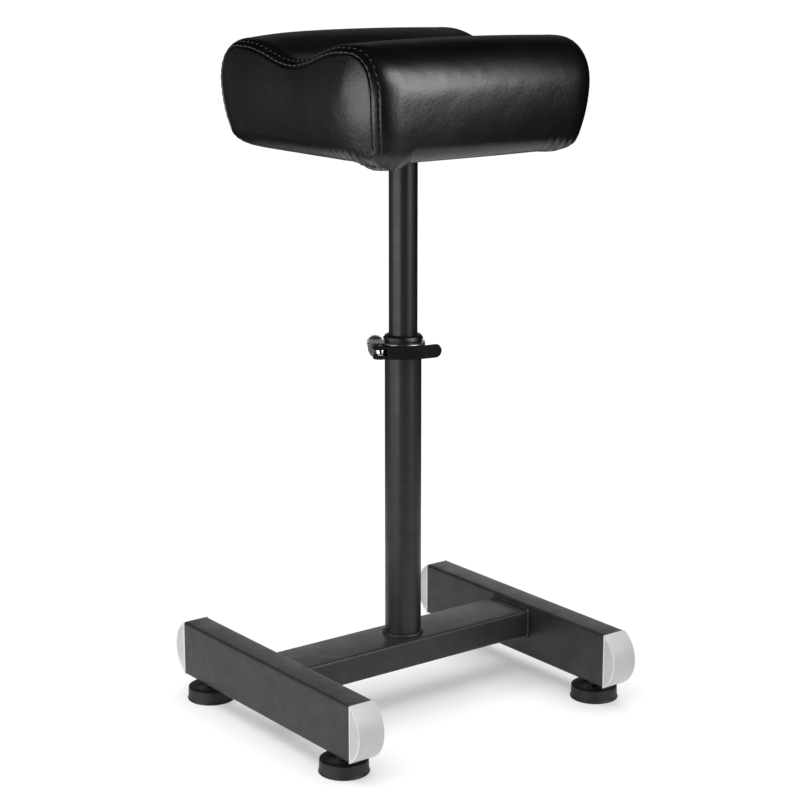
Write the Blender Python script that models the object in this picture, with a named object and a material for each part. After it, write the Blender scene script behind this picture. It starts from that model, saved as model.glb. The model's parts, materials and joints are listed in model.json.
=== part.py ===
"""Tattoo footrest: a grooved cushion on a post that slides and turns in a column.

The column stands on an H-shaped base of rectangular tube with four levelling feet, and a quick-release
collar holds the post. Lengths are in metres and +Z is up. X runs along the cross tube, Y runs along the
foot bars with the front at -Y, and the origin is on the floor under the column.
"""

import math

import bmesh
import bpy
from mathutils import Vector

MM = 0.001

# Clearance between pieces that touch or slide, and how finely round pieces are cut
FIT_GAP = 0.3 * MM
TUBE_SIDES = 48
SMALL_SIDES = 20

# Base of rectangular tube
BAR_LENGTH = 305 * MM
BAR_WIDTH = 30 * MM
BAR_HEIGHT = 60 * MM
BAR_SPACING = 334 * MM
CROSS_WIDTH = 60 * MM
CROSS_HEIGHT = 30 * MM
CROSS_DROP = 6 * MM
TUBE_WALL = 2 * MM
TUBE_CORNER = 3 * MM
TUBE_CORNER_STEPS = 3
WELD_LEG = 5 * MM
WELD_WAIST = 2 * MM

# Moulded end caps
CAP_BULGE = 18 * MM
CAP_EDGE = 1.2 * MM
CAP_PLUG_DEPTH = 16 * MM
CAP_PLUG_WALL = 2 * MM
CAP_ARC_STEPS = 16

# Levelling feet
FOOT_INSET = 29 * MM
PAD_DIAMETER = 50 * MM
PAD_HEIGHT = 14 * MM
PAD_LIP = 0.9 * MM
PAD_LIP_HEIGHT = 2.4 * MM
PAD_EDGE = 1.2 * MM
PAD_FLOOR = 4 * MM
STUD_DIAMETER = 8 * MM
STUD_LENGTH = 45 * MM
STUD_CHAMFER = 0.8 * MM
NUT_FLATS = 13 * MM
JAM_NUT_HEIGHT = 6.2 * MM
WELD_NUT_HEIGHT = 6.5 * MM

# Column, post and their guides
COLUMN_DIAMETER = 38.6 * MM
COLUMN_LENGTH = 322 * MM
POST_DIAMETER = 30 * MM
POST_LENGTH = 348 * MM
POST_OUT = 196 * MM
ROUND_TUBE_WALL = 2 * MM
BUSH_LENGTH = 45 * MM
FLANGE_DIAMETER = 42 * MM
FLANGE_HEIGHT = 5 * MM
FLANGE_LIP = 1.6 * MM
DOME_STEPS = 3
GUIDE_LENGTH = 14 * MM
GUIDE_SPIGOT = 20 * MM
COLUMN_SLIT_WIDTH = 2.5 * MM
COLUMN_SLIT_DEPTH = 17 * MM

# Quick-release collar, laid out with its ears along its own X and its skewer along its own Y
CLAMP_TURN = math.radians(150)
CLAMP_HEIGHT = 18 * MM
CLAMP_WALL = 3.4 * MM
CLAMP_BELOW_TOP = 0.6 * MM
CLAMP_SLIT = 3 * MM
CLAMP_EDGE = 0.6 * MM
EAR_REACH = 36 * MM
EAR_THICKNESS = 7.5 * MM
EAR_HEIGHT = 14.6 * MM
EAR_ROUND = 4 * MM
EAR_STEPS = 3
SKEWER_REACH = 26.5 * MM
SKEWER_DIAMETER = 5 * MM
SKEWER_TAIL = 2 * MM
EYE_DIAMETER = 10 * MM
EYE_HEIGHT = 6 * MM
PIN_DIAMETER = 5 * MM
PIN_PROUD = 0.6 * MM
CAM_RADIUS = 7.5 * MM
CAM_THROW = 1 * MM
SEAT_THICKNESS = 2.5 * MM
SEAT_HORN = 2.5 * MM
SEAT_WIDTH = 10 * MM
LEVER_SPAN = 64.5 * MM
LEVER_BOW = 8.4 * MM
LEVER_TIP_DROP = 4 * MM
LEVER_HEIGHT = 13.3 * MM
LEVER_THICKNESS = 5 * MM
LEVER_EDGE = 0.8 * MM
LEVER_STEPS = 12
LEVER_TIP_STEPS = 5
CHEEK_REACH = 7 * MM
WASHER_DIAMETER = 10 * MM
WASHER_THICKNESS = 1.2 * MM
NUT_HUB_DIAMETER = 10 * MM
NUT_HUB_LENGTH = 9 * MM
NUT_WHEEL_DIAMETER = 18 * MM
NUT_WHEEL_LENGTH = 8 * MM
KNURL_DEPTH = 0.6 * MM
KNURL_COUNT = 18

# Mounting plate, base board and their fasteners
PLATE_SIDE = 130 * MM
PLATE_THICKNESS = 4 * MM
PLATE_CORNER = 10 * MM
PLATE_CORNER_STEPS = 4
SCREW_SPACING = 100 * MM
SCREW_DIAMETER = 6 * MM
SCREW_HEAD_DIAMETER = 12 * MM
SCREW_HEAD_HEIGHT = 3.6 * MM
SCREW_HEAD_BEVEL = 1.6 * MM
SCREW_RECESS_DIAMETER = 4 * MM
SCREW_RECESS_DEPTH = 2 * MM
TEE_NUT_BARREL = 8.5 * MM
TEE_NUT_FLANGE = 18 * MM
TEE_NUT_FLANGE_THICKNESS = 1.5 * MM
BOARD_THICKNESS = 12 * MM
BOARD_CHAMFER = 4 * MM
BOARD_SHY = 2 * MM
DUST_COVER_THICKNESS = 1 * MM

# Cushion
CUSHION_LENGTH = 278 * MM
CUSHION_WIDTH = 276 * MM
CUSHION_HEIGHT = 115 * MM
CUSHION_CORNER = 24 * MM
COVER_THICKNESS = 1.5 * MM
COVER_RETURN = 25 * MM
BOTTOM_EDGE = 8 * MM
DRAW_IN = 9 * MM
DRAW_POWER = 1.6
RIDGE_OFFSET = 84 * MM
GROOVE_DEPTH = 21 * MM
CROWN = 3 * MM
SIDE_ROLL = 52 * MM
SIDE_DROP = 46 * MM
END_ROLL = 22 * MM
END_DROP = 18 * MM
ROLL_POWER = 2.2
CORNER_BLEND = 2
CUSHION_CORNER_STEPS = 4
CUSHION_SIDE_STEPS = 6
WALL_SHARES = (0.0, 0.35, 0.7, 1.0)
TOP_SCALES = (0.985, 0.95, 0.89, 0.81, 0.7, 0.55, 0.36, 0.17)

# Levels worked out from the sizes above
BAR_BOTTOM = PAD_HEIGHT + JAM_NUT_HEIGHT + 2 * FIT_GAP
BAR_TOP = BAR_BOTTOM + BAR_HEIGHT
CROSS_TOP = BAR_TOP - CROSS_DROP
COLUMN_BOTTOM = CROSS_TOP + FIT_GAP
COLUMN_TOP = COLUMN_BOTTOM + COLUMN_LENGTH
CLAMP_MIDDLE = COLUMN_TOP - CLAMP_BELOW_TOP - CLAMP_HEIGHT / 2
POST_TOP = COLUMN_TOP + POST_OUT
POST_BOTTOM = POST_TOP - POST_LENGTH
PLATE_BOTTOM = POST_TOP + FIT_GAP
PLATE_TOP = PLATE_BOTTOM + PLATE_THICKNESS
DUST_COVER_BOTTOM = PLATE_TOP + FIT_GAP
BOARD_BOTTOM = DUST_COVER_BOTTOM + DUST_COVER_THICKNESS + FIT_GAP
BOARD_TOP = BOARD_BOTTOM + BOARD_THICKNESS
CUSHION_BOTTOM = BOARD_BOTTOM - FIT_GAP - COVER_THICKNESS
FOAM_BOTTOM = BOARD_TOP + FIT_GAP
TEE_NUT_SEAT = BOARD_TOP - FIT_GAP - TEE_NUT_FLANGE_THICKNESS

# Radii and reaches worked out from the sizes above
COLUMN_RADIUS = COLUMN_DIAMETER / 2
COLUMN_BORE = COLUMN_RADIUS - ROUND_TUBE_WALL
POST_RADIUS = POST_DIAMETER / 2
POST_BORE = POST_RADIUS - ROUND_TUBE_WALL
STUD_RADIUS = STUD_DIAMETER / 2
SKEWER_RADIUS = SKEWER_DIAMETER / 2
PIN_RADIUS = PIN_DIAMETER / 2
SCREW_RADIUS = SCREW_DIAMETER / 2
CLAMP_BORE = COLUMN_RADIUS + FIT_GAP
EAR_FACE = CLAMP_SLIT / 2 + EAR_THICKNESS
SEAT_FACE = EAR_FACE + FIT_GAP
PIN_REACH = SEAT_FACE + SEAT_THICKNESS + FIT_GAP + CAM_RADIUS + CAM_THROW
WASHER_FACE = EAR_FACE + FIT_GAP
TENSION_NUT_FACE = WASHER_FACE + WASHER_THICKNESS + FIT_GAP
HALF_LENGTH = CUSHION_LENGTH / 2
HALF_WIDTH = CUSHION_WIDTH / 2

CORNERS = (("front_left", -1, -1), ("front_right", 1, -1), ("back_left", -1, 1), ("back_right", 1, 1))


def clear_scene():
    for old in list(bpy.data.objects):
        bpy.data.objects.remove(old, do_unlink=True)


def make_material(name, shade, roughness, metallic=0.0):
    """A plain surface. The shade is a linear grey value or an RGB triple."""
    material = bpy.data.materials.new(name)
    material.use_nodes = True
    colour = shade if isinstance(shade, tuple) else (shade, shade, shade)
    surface = material.node_tree.nodes["Principled BSDF"]
    surface.inputs["Base Color"].default_value = (*colour, 1.0)
    surface.inputs["Roughness"].default_value = roughness
    surface.inputs["Metallic"].default_value = metallic
    return material


def make_mesh(name, shape, material):
    """Turns a closed bmesh into a smooth-shaded mesh with its faces pointing out."""
    bmesh.ops.recalc_face_normals(shape, faces=shape.faces)
    mesh = bpy.data.meshes.new(name)
    shape.to_mesh(mesh)
    shape.free()
    mesh.materials.append(material)
    mesh.shade_smooth()
    mesh.set_sharp_from_angle(angle=math.radians(32))
    return mesh


def place(name, mesh, location=(0, 0, 0), rotation=(0, 0, 0), parent=None):
    thing = bpy.data.objects.new(name, mesh)
    bpy.context.scene.collection.objects.link(thing)
    thing.location = location
    thing.rotation_euler = rotation
    thing.parent = parent
    return thing


def place_tool(name, shape, location=(0, 0, 0), rotation=(0, 0, 0), parent=None):
    """A shape that only cuts or joins another one."""
    mesh = bpy.data.meshes.new(name)
    bmesh.ops.recalc_face_normals(shape, faces=shape.faces)
    shape.to_mesh(mesh)
    shape.free()
    tool = place(name, mesh, location, rotation, parent)
    tool.hide_render = True
    tool.display_type = "WIRE"
    return tool


def combine(thing, tool, operation="DIFFERENCE"):
    step = thing.modifiers.new(tool.name, "BOOLEAN")
    step.operation = operation
    step.solver = "EXACT"
    step.object = tool


def soften_edges(thing, width, segments=1):
    bevel = thing.modifiers.new("soft edges", "BEVEL")
    bevel.width = width
    bevel.segments = segments
    bevel.limit_method = "ANGLE"
    bevel.angle_limit = math.radians(40)


def lofted(loops, ring=False):
    """Joins loops of equal length with quads, closed by end faces or, for a ring, back to the first loop."""
    shape = bmesh.new()
    rows = [[shape.verts.new(point) for point in loop] for loop in loops]
    count = len(rows[0])
    pairs = list(zip(rows, rows[1:]))
    if ring:
        pairs.append((rows[-1], rows[0]))
    for low, high in pairs:
        for index in range(count):
            following = (index + 1) % count
            shape.faces.new((low[index], low[following], high[following], high[index]))
    if not ring:
        shape.faces.new(list(reversed(rows[0])))
        shape.faces.new(rows[-1])
    return shape


def turned(profile, sides):
    """Spins a profile of (radius, height) points about Z. One that starts off the axis closes as a ring."""
    shape = bmesh.new()
    points = [shape.verts.new((radius, 0, height)) for radius, height in profile]
    edges = [shape.edges.new(pair) for pair in zip(points, points[1:])]
    if profile[0][0] > 0:
        edges.append(shape.edges.new((points[-1], points[0])))
    bmesh.ops.spin(
        shape, geom=points + edges, axis=(0, 0, 1), cent=(0, 0, 0), steps=sides, angle=2 * math.pi
    )
    bmesh.ops.remove_doubles(shape, verts=shape.verts, dist=0.001 * MM)
    return shape


def tube_profile(outer, inner, bottom, top):
    return [(outer, bottom), (outer, top), (inner, top), (inner, bottom)]


def solid_profile(radius, bottom, top):
    return [(0, bottom), (radius, bottom), (radius, top), (0, top)]


def pin_profile(radius, bottom, top, chamfer):
    return [
        (0, bottom),
        (radius - chamfer, bottom),
        (radius, bottom + chamfer),
        (radius, top - chamfer),
        (radius - chamfer, top),
        (0, top),
    ]


def circle(radius, height, count):
    angles = [2 * math.pi * step / count for step in range(count)]
    return [(radius * math.cos(angle), radius * math.sin(angle), height) for angle in angles]


def rounded_outline(half_x, half_y, radius, corner_steps, side_steps=1):
    """Points round a rectangle with round corners, starting at the +X end of the +X +Y corner."""
    centres = [
        (half_x - radius, half_y - radius),
        (radius - half_x, half_y - radius),
        (radius - half_x, radius - half_y),
        (half_x - radius, radius - half_y),
    ]
    points = []
    for quarter, (centre_x, centre_y) in enumerate(centres):
        for step in range(corner_steps + 1):
            angle = math.pi / 2 * (quarter + step / corner_steps)
            points.append((centre_x + radius * math.cos(angle), centre_y + radius * math.sin(angle)))
        start = Vector(points[-1])
        next_x, next_y = centres[(quarter + 1) % 4]
        next_angle = math.pi / 2 * (quarter + 1)
        end = Vector((next_x + radius * math.cos(next_angle), next_y + radius * math.sin(next_angle)))
        points += [tuple(start.lerp(end, step / side_steps)) for step in range(1, side_steps)]
    return points


def at_height(outline, height, scale=1.0):
    return [(x * scale, y * scale, height) for x, y in outline]


def rectangular_tube(half_x, half_y, length):
    """A tube along Z with round corners outside and inside, centred on the origin."""
    outer = rounded_outline(half_x, half_y, TUBE_CORNER, TUBE_CORNER_STEPS)
    inner_corner = TUBE_CORNER - TUBE_WALL
    inner = rounded_outline(half_x - TUBE_WALL, half_y - TUBE_WALL, inner_corner, TUBE_CORNER_STEPS)
    low, high = -length / 2, length / 2
    walls = [at_height(outer, low), at_height(outer, high), at_height(inner, high), at_height(inner, low)]
    return lofted(walls, ring=True)


def fillet_ring(half_x, half_y, corner):
    """A weld bead round a rectangular tube along Z, on the face at height zero."""
    reaches = ((FIT_GAP, FIT_GAP), (WELD_LEG, FIT_GAP), (WELD_WAIST, WELD_WAIST), (FIT_GAP, WELD_LEG))
    loops = []
    for reach, height in reaches:
        outline = rounded_outline(half_x + reach, half_y + reach, corner + reach, TUBE_CORNER_STEPS)
        loops.append(at_height(outline, height))
    return lofted(loops, ring=True)


def round_weld(radius):
    """A weld bead round a pipe along Z, on the face at height zero."""
    profile = [
        (radius + FIT_GAP, FIT_GAP),
        (radius + WELD_LEG, FIT_GAP),
        (radius + WELD_WAIST, WELD_WAIST),
        (radius + FIT_GAP, WELD_LEG),
    ]
    return turned(profile, TUBE_SIDES)


def foot_place(side, end):
    return (side * BAR_SPACING / 2, end * (BAR_LENGTH / 2 - FOOT_INSET))


def build_base(coat):
    """Two foot bars, the cross tube between them and the weld beads."""
    bar_mesh = make_mesh("foot_bar", rectangular_tube(BAR_WIDTH / 2, BAR_HEIGHT / 2, BAR_LENGTH), coat)
    for name, side in (("left", -1), ("right", 1)):
        middle = (side * BAR_SPACING / 2, 0, BAR_BOTTOM + BAR_HEIGHT / 2)
        bar = place(f"{name}_foot_bar", bar_mesh, middle, (math.pi / 2, 0, 0))
        for end in (-1, 1):
            x, y = foot_place(side, end)
            hole = turned(solid_profile(STUD_RADIUS + FIT_GAP, -TUBE_WALL, 2 * TUBE_WALL), SMALL_SIDES)
            combine(bar, place_tool(f"{name}_stud_hole_{end}", hole, (x, y, BAR_BOTTOM)))
    cross_length = BAR_SPACING - BAR_WIDTH - 2 * FIT_GAP
    cross_middle = CROSS_TOP - CROSS_HEIGHT / 2
    cross = rectangular_tube(CROSS_HEIGHT / 2, CROSS_WIDTH / 2, cross_length)
    place("cross_tube", make_mesh("cross_tube", cross, coat), (0, 0, cross_middle), (0, math.pi / 2, 0))
    bead = make_mesh("cross_weld", fillet_ring(CROSS_HEIGHT / 2, CROSS_WIDTH / 2, TUBE_CORNER), coat)
    face = BAR_SPACING / 2 - BAR_WIDTH / 2
    place("left_cross_weld", bead, (-face, 0, cross_middle), (0, math.pi / 2, 0))
    place("right_cross_weld", bead, (face, 0, cross_middle), (0, -math.pi / 2, 0))
    place("column_weld", make_mesh("column_weld", round_weld(COLUMN_RADIUS), coat), (0, 0, CROSS_TOP))


def end_cap_shape():
    """A cap with an arched end along +Y and a hollow plug behind it along -Y."""
    half_width = BAR_WIDTH / 2
    half_height = BAR_HEIGHT / 2
    radius = (half_height**2 + CAP_BULGE**2) / (2 * CAP_BULGE)
    reach = math.asin(half_height / radius)
    angles = [reach * (2 * step / CAP_ARC_STEPS - 1) for step in range(CAP_ARC_STEPS + 1)]
    arc = [(CAP_BULGE - radius + radius * math.cos(angle), radius * math.sin(angle)) for angle in angles]
    shape = lofted([[(x, y, z) for y, z in arc] for x in (-half_width, half_width)])
    rim = [
        edge
        for edge in shape.edges
        if abs(edge.verts[0].co.x - edge.verts[1].co.x) < FIT_GAP and edge.calc_length() < half_height
    ]
    bmesh.ops.recalc_face_normals(shape, faces=shape.faces)
    back = min(shape.faces, key=lambda face: face.normal.y)
    bmesh.ops.inset_region(shape, faces=[back], thickness=TUBE_WALL + FIT_GAP, use_even_offset=True)
    for thickness, depth in ((0, -CAP_PLUG_DEPTH), (CAP_PLUG_WALL, CAP_PLUG_DEPTH)):
        if thickness:
            bmesh.ops.inset_region(shape, faces=[back], thickness=thickness, use_even_offset=True)
        back = bmesh.ops.extrude_discrete_faces(shape, faces=[back])["faces"][0]
        bmesh.ops.translate(shape, verts=back.verts, vec=(0, depth, 0))
    plug_half = half_width - TUBE_WALL - FIT_GAP
    plug_corners = [
        edge
        for edge in shape.edges
        if abs(edge.calc_length() - CAP_PLUG_DEPTH) < FIT_GAP
        and min(abs(vert.co.x) for vert in edge.verts) > plug_half - FIT_GAP
    ]
    for edges, width in ((plug_corners, TUBE_CORNER - TUBE_WALL), (rim, CAP_EDGE)):
        bmesh.ops.bevel(
            shape, geom=edges, offset=width, segments=2, profile=0.5, affect="EDGES", clamp_overlap=True
        )
    return shape


def build_end_caps(plastic):
    mesh = make_mesh("end_cap", end_cap_shape(), plastic)
    for name, side, end in CORNERS:
        location = (side * BAR_SPACING / 2, end * (BAR_LENGTH / 2 + FIT_GAP), BAR_BOTTOM + BAR_HEIGHT / 2)
        place(f"end_cap_{name}", mesh, location, (0, 0, 0 if end > 0 else math.pi))


def hexagon(flats, height, steps):
    """A hexagon with each side cut into equal steps, to match a circle of six times as many points."""
    radius = flats / math.sqrt(3)
    angles = [math.pi / 3 * corner for corner in range(7)]
    corners = [Vector((radius * math.cos(angle), radius * math.sin(angle), height)) for angle in angles]
    sides = zip(corners, corners[1:])
    return [first.lerp(second, step / steps) for first, second in sides for step in range(steps)]


def hexagon_nut(flats, bore, height):
    steps = SMALL_SIDES // 6
    count = 6 * steps
    outline = [hexagon(flats, 0, steps), hexagon(flats, height, steps)]
    return lofted(outline + [circle(bore, height, count), circle(bore, 0, count)], ring=True)


def pad_shape():
    """A rubber disc with a flared foot and a blind hole for the stud in its top."""
    radius = PAD_DIAMETER / 2
    flare = radius + PAD_LIP
    profile = [
        (0, 0),
        (flare - PAD_LIP, 0),
        (flare, PAD_LIP),
        (flare, PAD_LIP_HEIGHT - PAD_LIP),
        (radius, PAD_LIP_HEIGHT),
        (radius, PAD_HEIGHT - PAD_EDGE),
        (radius - PAD_EDGE, PAD_HEIGHT),
        (STUD_RADIUS + FIT_GAP, PAD_HEIGHT),
        (STUD_RADIUS + FIT_GAP, PAD_FLOOR),
        (0, PAD_FLOOR),
    ]
    return turned(profile, 2 * SMALL_SIDES)


def build_feet(rubber, zinc):
    """A pad and stud for each foot, with its jam nut under the bar and its weld nut inside."""
    stud_bottom = PAD_FLOOR + FIT_GAP
    stud = pin_profile(STUD_RADIUS, stud_bottom, stud_bottom + STUD_LENGTH, STUD_CHAMFER)
    pad_mesh = make_mesh("foot_pad", pad_shape(), rubber)
    stud_mesh = make_mesh("foot_stud", turned(stud, SMALL_SIDES), zinc)
    jam_mesh = make_mesh("jam_nut", hexagon_nut(NUT_FLATS, STUD_RADIUS + FIT_GAP, JAM_NUT_HEIGHT), zinc)
    weld_mesh = make_mesh("weld_nut", hexagon_nut(NUT_FLATS, STUD_RADIUS + FIT_GAP, WELD_NUT_HEIGHT), zinc)
    for name, side, end in CORNERS:
        x, y = foot_place(side, end)
        axis = place(f"foot_axis_{name}", None, (x, y, 0))
        place(f"foot_pad_{name}", pad_mesh, parent=axis)
        place(f"foot_stud_{name}", stud_mesh, parent=axis)
        place(f"jam_nut_{name}", jam_mesh, (x, y, PAD_HEIGHT + FIT_GAP))
        place(f"weld_nut_{name}", weld_mesh, (x, y, BAR_BOTTOM + TUBE_WALL + FIT_GAP))


def bush_shape():
    """A sleeve in the column's top with a domed flange over its end."""
    bore = POST_RADIUS + FIT_GAP
    sleeve = COLUMN_BORE - FIT_GAP
    flange = FLANGE_DIAMETER / 2
    seat = FIT_GAP
    crest = seat + FLANGE_HEIGHT
    width = flange - bore - FIT_GAP
    rise = FLANGE_HEIGHT - FLANGE_LIP
    dome = []
    for step in range(DOME_STEPS + 1):
        angle = math.pi / 2 * step / DOME_STEPS
        dome.append((flange - width * (1 - math.cos(angle)), crest - rise * (1 - math.sin(angle))))
    profile = [
        (sleeve, -BUSH_LENGTH),
        (sleeve, seat),
        (flange, seat),
        *dome,
        (bore, crest - FIT_GAP),
        (bore, -BUSH_LENGTH),
    ]
    return turned(profile, TUBE_SIDES)


def guide_shape():
    """A plug that turns in the post's lower end and slides in the column."""
    slider = COLUMN_BORE - FIT_GAP
    spigot = POST_BORE - FIT_GAP
    profile = [
        (0, -GUIDE_LENGTH),
        (slider - STUD_CHAMFER, -GUIDE_LENGTH),
        (slider, STUD_CHAMFER - GUIDE_LENGTH),
        (slider, -FIT_GAP),
        (spigot, -FIT_GAP),
        (spigot, GUIDE_SPIGOT),
        (0, GUIDE_SPIGOT),
    ]
    return turned(profile, TUBE_SIDES)


def build_column(coat, plastic):
    """The column with its clamping slit, the bush in its top, and the post with the guide at its foot."""
    column = turned(tube_profile(COLUMN_RADIUS, COLUMN_BORE, COLUMN_BOTTOM, COLUMN_TOP), TUBE_SIDES)
    tube = place("outer_column", make_mesh("outer_column", column, coat))
    half_slit = COLUMN_SLIT_WIDTH / 2
    floor = [(0, -half_slit), (2 * COLUMN_RADIUS, -half_slit), (2 * COLUMN_RADIUS, half_slit), (0, half_slit)]
    slit = lofted([at_height(floor, -COLUMN_SLIT_DEPTH), at_height(floor, COLUMN_SLIT_DEPTH)])
    combine(tube, place_tool("column_slit", slit, (0, 0, COLUMN_TOP), (0, 0, CLAMP_TURN)))
    place("guide_bush", make_mesh("guide_bush", bush_shape(), plastic), (0, 0, COLUMN_TOP))
    post = turned(tube_profile(POST_RADIUS, POST_BORE, 0, POST_LENGTH), TUBE_SIDES)
    place("inner_post", make_mesh("inner_post", post, coat), (0, 0, POST_BOTTOM))
    place("lower_guide", make_mesh("lower_guide", guide_shape(), plastic), (0, 0, POST_BOTTOM))


def split_ring():
    """The collar's band, open at its slit along +X."""
    outer = CLAMP_BORE + CLAMP_WALL
    half_slit = CLAMP_SLIT / 2
    points = []
    for radius, turn in ((CLAMP_BORE, 1), (outer, -1)):
        start = math.asin(half_slit / radius)
        sweep = 2 * (math.pi - start)
        angles = [start + sweep * step / TUBE_SIDES for step in range(TUBE_SIDES + 1)]
        points += [(radius * math.cos(angle), radius * math.sin(angle)) for angle in angles[::turn]]
    return lofted([at_height(points, -CLAMP_HEIGHT / 2), at_height(points, CLAMP_HEIGHT / 2)])


def ear_shape(side):
    """One ear of the collar, from inside the band to its rounded end, on one side of the slit."""
    root = CLAMP_BORE + FIT_GAP
    half = EAR_HEIGHT / 2
    end = EAR_REACH - EAR_ROUND
    outline = [(root, -half)]
    for centre_z, first in ((EAR_ROUND - half, -math.pi / 2), (half - EAR_ROUND, 0)):
        for step in range(EAR_STEPS + 1):
            angle = first + math.pi / 2 * step / EAR_STEPS
            outline.append((end + EAR_ROUND * math.cos(angle), centre_z + EAR_ROUND * math.sin(angle)))
    outline.append((root, half))
    faces = (side * CLAMP_SLIT / 2, side * EAR_FACE)
    return lofted([[(x, y, z) for x, z in outline] for y in faces])


def build_clamp_ring(frame, metal):
    ring = place("clamp_ring", make_mesh("clamp_ring", split_ring(), metal), parent=frame)
    for name, side in (("front", 1), ("back", -1)):
        combine(ring, place_tool(f"{name}_ear", ear_shape(side), parent=frame), "UNION")
    bore = turned(solid_profile(SKEWER_RADIUS + FIT_GAP, -EAR_REACH, EAR_REACH), SMALL_SIDES)
    combine(ring, place_tool("ear_bore", bore, (SKEWER_REACH, 0, 0), (math.pi / 2, 0, 0), frame))
    soften_edges(ring, CLAMP_EDGE)


def build_skewer(frame, steel):
    """A rod along the collar's Y with an eye for the pivot pin, and the washer and nut on its tail."""
    tail = TENSION_NUT_FACE + NUT_HUB_LENGTH + NUT_WHEEL_LENGTH + SKEWER_TAIL
    across = (math.pi / 2, 0, 0)
    middle = (SKEWER_REACH, 0, 0)
    rod = turned(pin_profile(SKEWER_RADIUS, -PIN_REACH, tail, STUD_CHAMFER), SMALL_SIDES)
    skewer = place("skewer", make_mesh("skewer", rod, steel), middle, across, frame)
    pivot = (SKEWER_REACH, PIN_REACH, 0)
    eye = turned(solid_profile(EYE_DIAMETER / 2, -EYE_HEIGHT / 2, EYE_HEIGHT / 2), SMALL_SIDES)
    combine(skewer, place_tool("skewer_eye", eye, pivot, parent=frame), "UNION")
    hole = turned(solid_profile(PIN_RADIUS + FIT_GAP, -EYE_HEIGHT, EYE_HEIGHT), SMALL_SIDES)
    combine(skewer, place_tool("eye_hole", hole, pivot, parent=frame))
    half_pin = LEVER_HEIGHT / 2 + PIN_PROUD
    pin = turned(pin_profile(PIN_RADIUS, -half_pin, half_pin, PIN_PROUD), SMALL_SIDES)
    place("cam_pin", make_mesh("cam_pin", pin, steel), pivot, parent=frame)
    washer_back = WASHER_FACE + WASHER_THICKNESS
    washer = tube_profile(WASHER_DIAMETER / 2, SKEWER_RADIUS + FIT_GAP, WASHER_FACE, washer_back)
    place("nut_washer", make_mesh("nut_washer", turned(washer, SMALL_SIDES), steel), middle, across, frame)
    place("tension_nut", make_mesh("tension_nut", tension_nut_shape(), steel), middle, across, frame)


def tension_nut_shape():
    """A hand nut: a plain hub against the washer and a wheel with straight knurls beyond it."""
    count = 2 * KNURL_COUNT
    low = TENSION_NUT_FACE
    step_up = low + NUT_HUB_LENGTH
    high = step_up + NUT_WHEEL_LENGTH
    crest = NUT_WHEEL_DIAMETER / 2
    root = crest - KNURL_DEPTH
    rim = root - KNURL_DEPTH
    hub = NUT_HUB_DIAMETER / 2
    bore = SKEWER_RADIUS + FIT_GAP

    def knurled(height):
        radii = [crest if step % 2 else root for step in range(count)]
        return [(x * radius, y * radius, z) for (x, y, z), radius in zip(circle(1, height, count), radii)]

    loops = [circle(bore, low, count), circle(hub, low, count), circle(hub, step_up, count)]
    loops += [circle(rim, step_up, count), knurled(step_up + KNURL_DEPTH), knurled(high - KNURL_DEPTH)]
    return lofted(loops + [circle(rim, high, count), circle(bore, high, count)], ring=True)


def build_cam_seat(frame, plastic):
    """A block on the front ear, hollowed to the cam's curve and bored for the skewer."""
    half_width = SEAT_WIDTH / 2
    front = SEAT_FACE + SEAT_THICKNESS + SEAT_HORN
    plan = [
        (SKEWER_REACH - half_width, SEAT_FACE),
        (SKEWER_REACH + half_width, SEAT_FACE),
        (SKEWER_REACH + half_width, front),
        (SKEWER_REACH - half_width, front),
    ]
    half_height = LEVER_HEIGHT / 2
    block = lofted([at_height(plan, -half_height), at_height(plan, half_height)])
    seat = place("cam_seat", make_mesh("cam_seat", block, plastic), parent=frame)
    hollow = turned(solid_profile(CAM_RADIUS + FIT_GAP, -LEVER_HEIGHT, LEVER_HEIGHT), 2 * SMALL_SIDES)
    combine(seat, place_tool("seat_hollow", hollow, (SKEWER_REACH, PIN_REACH - CAM_THROW, 0), parent=frame))
    bore = turned(solid_profile(SKEWER_RADIUS + FIT_GAP, -PIN_REACH, PIN_REACH), SMALL_SIDES)
    combine(seat, place_tool("seat_bore", bore, (SKEWER_REACH, 0, 0), (math.pi / 2, 0, 0), frame))


def lever_station(share, half_height):
    """Four corners across the lever at a share of its span, square to its bowed centre line."""
    x = -LEVER_SPAN * share
    y = 4 * LEVER_BOW * share * (1 - share) - LEVER_TIP_DROP * share
    slope = (4 * LEVER_BOW * (1 - 2 * share) - LEVER_TIP_DROP) / -LEVER_SPAN
    normal = Vector((-slope, 1)).normalized() * LEVER_THICKNESS / 2
    inner, outer = (x - normal.x, y - normal.y), (x + normal.x, y + normal.y)
    return [
        (*inner, -half_height),
        (*outer, -half_height),
        (*outer, half_height),
        (*inner, half_height),
    ]


def paddle_shape():
    """The lever's bowed band with a round tip."""
    half = LEVER_HEIGHT / 2
    tip_share = 1 - half / LEVER_SPAN
    stations = [lever_station(tip_share * step / LEVER_STEPS, half) for step in range(LEVER_STEPS)]
    for step in range(LEVER_TIP_STEPS + 1):
        angle = math.pi / 2 * step / (LEVER_TIP_STEPS + 0.5)
        share = tip_share + (1 - tip_share) * math.sin(angle)
        stations.append(lever_station(share, half * math.cos(angle)))
    return lofted(stations)


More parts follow.
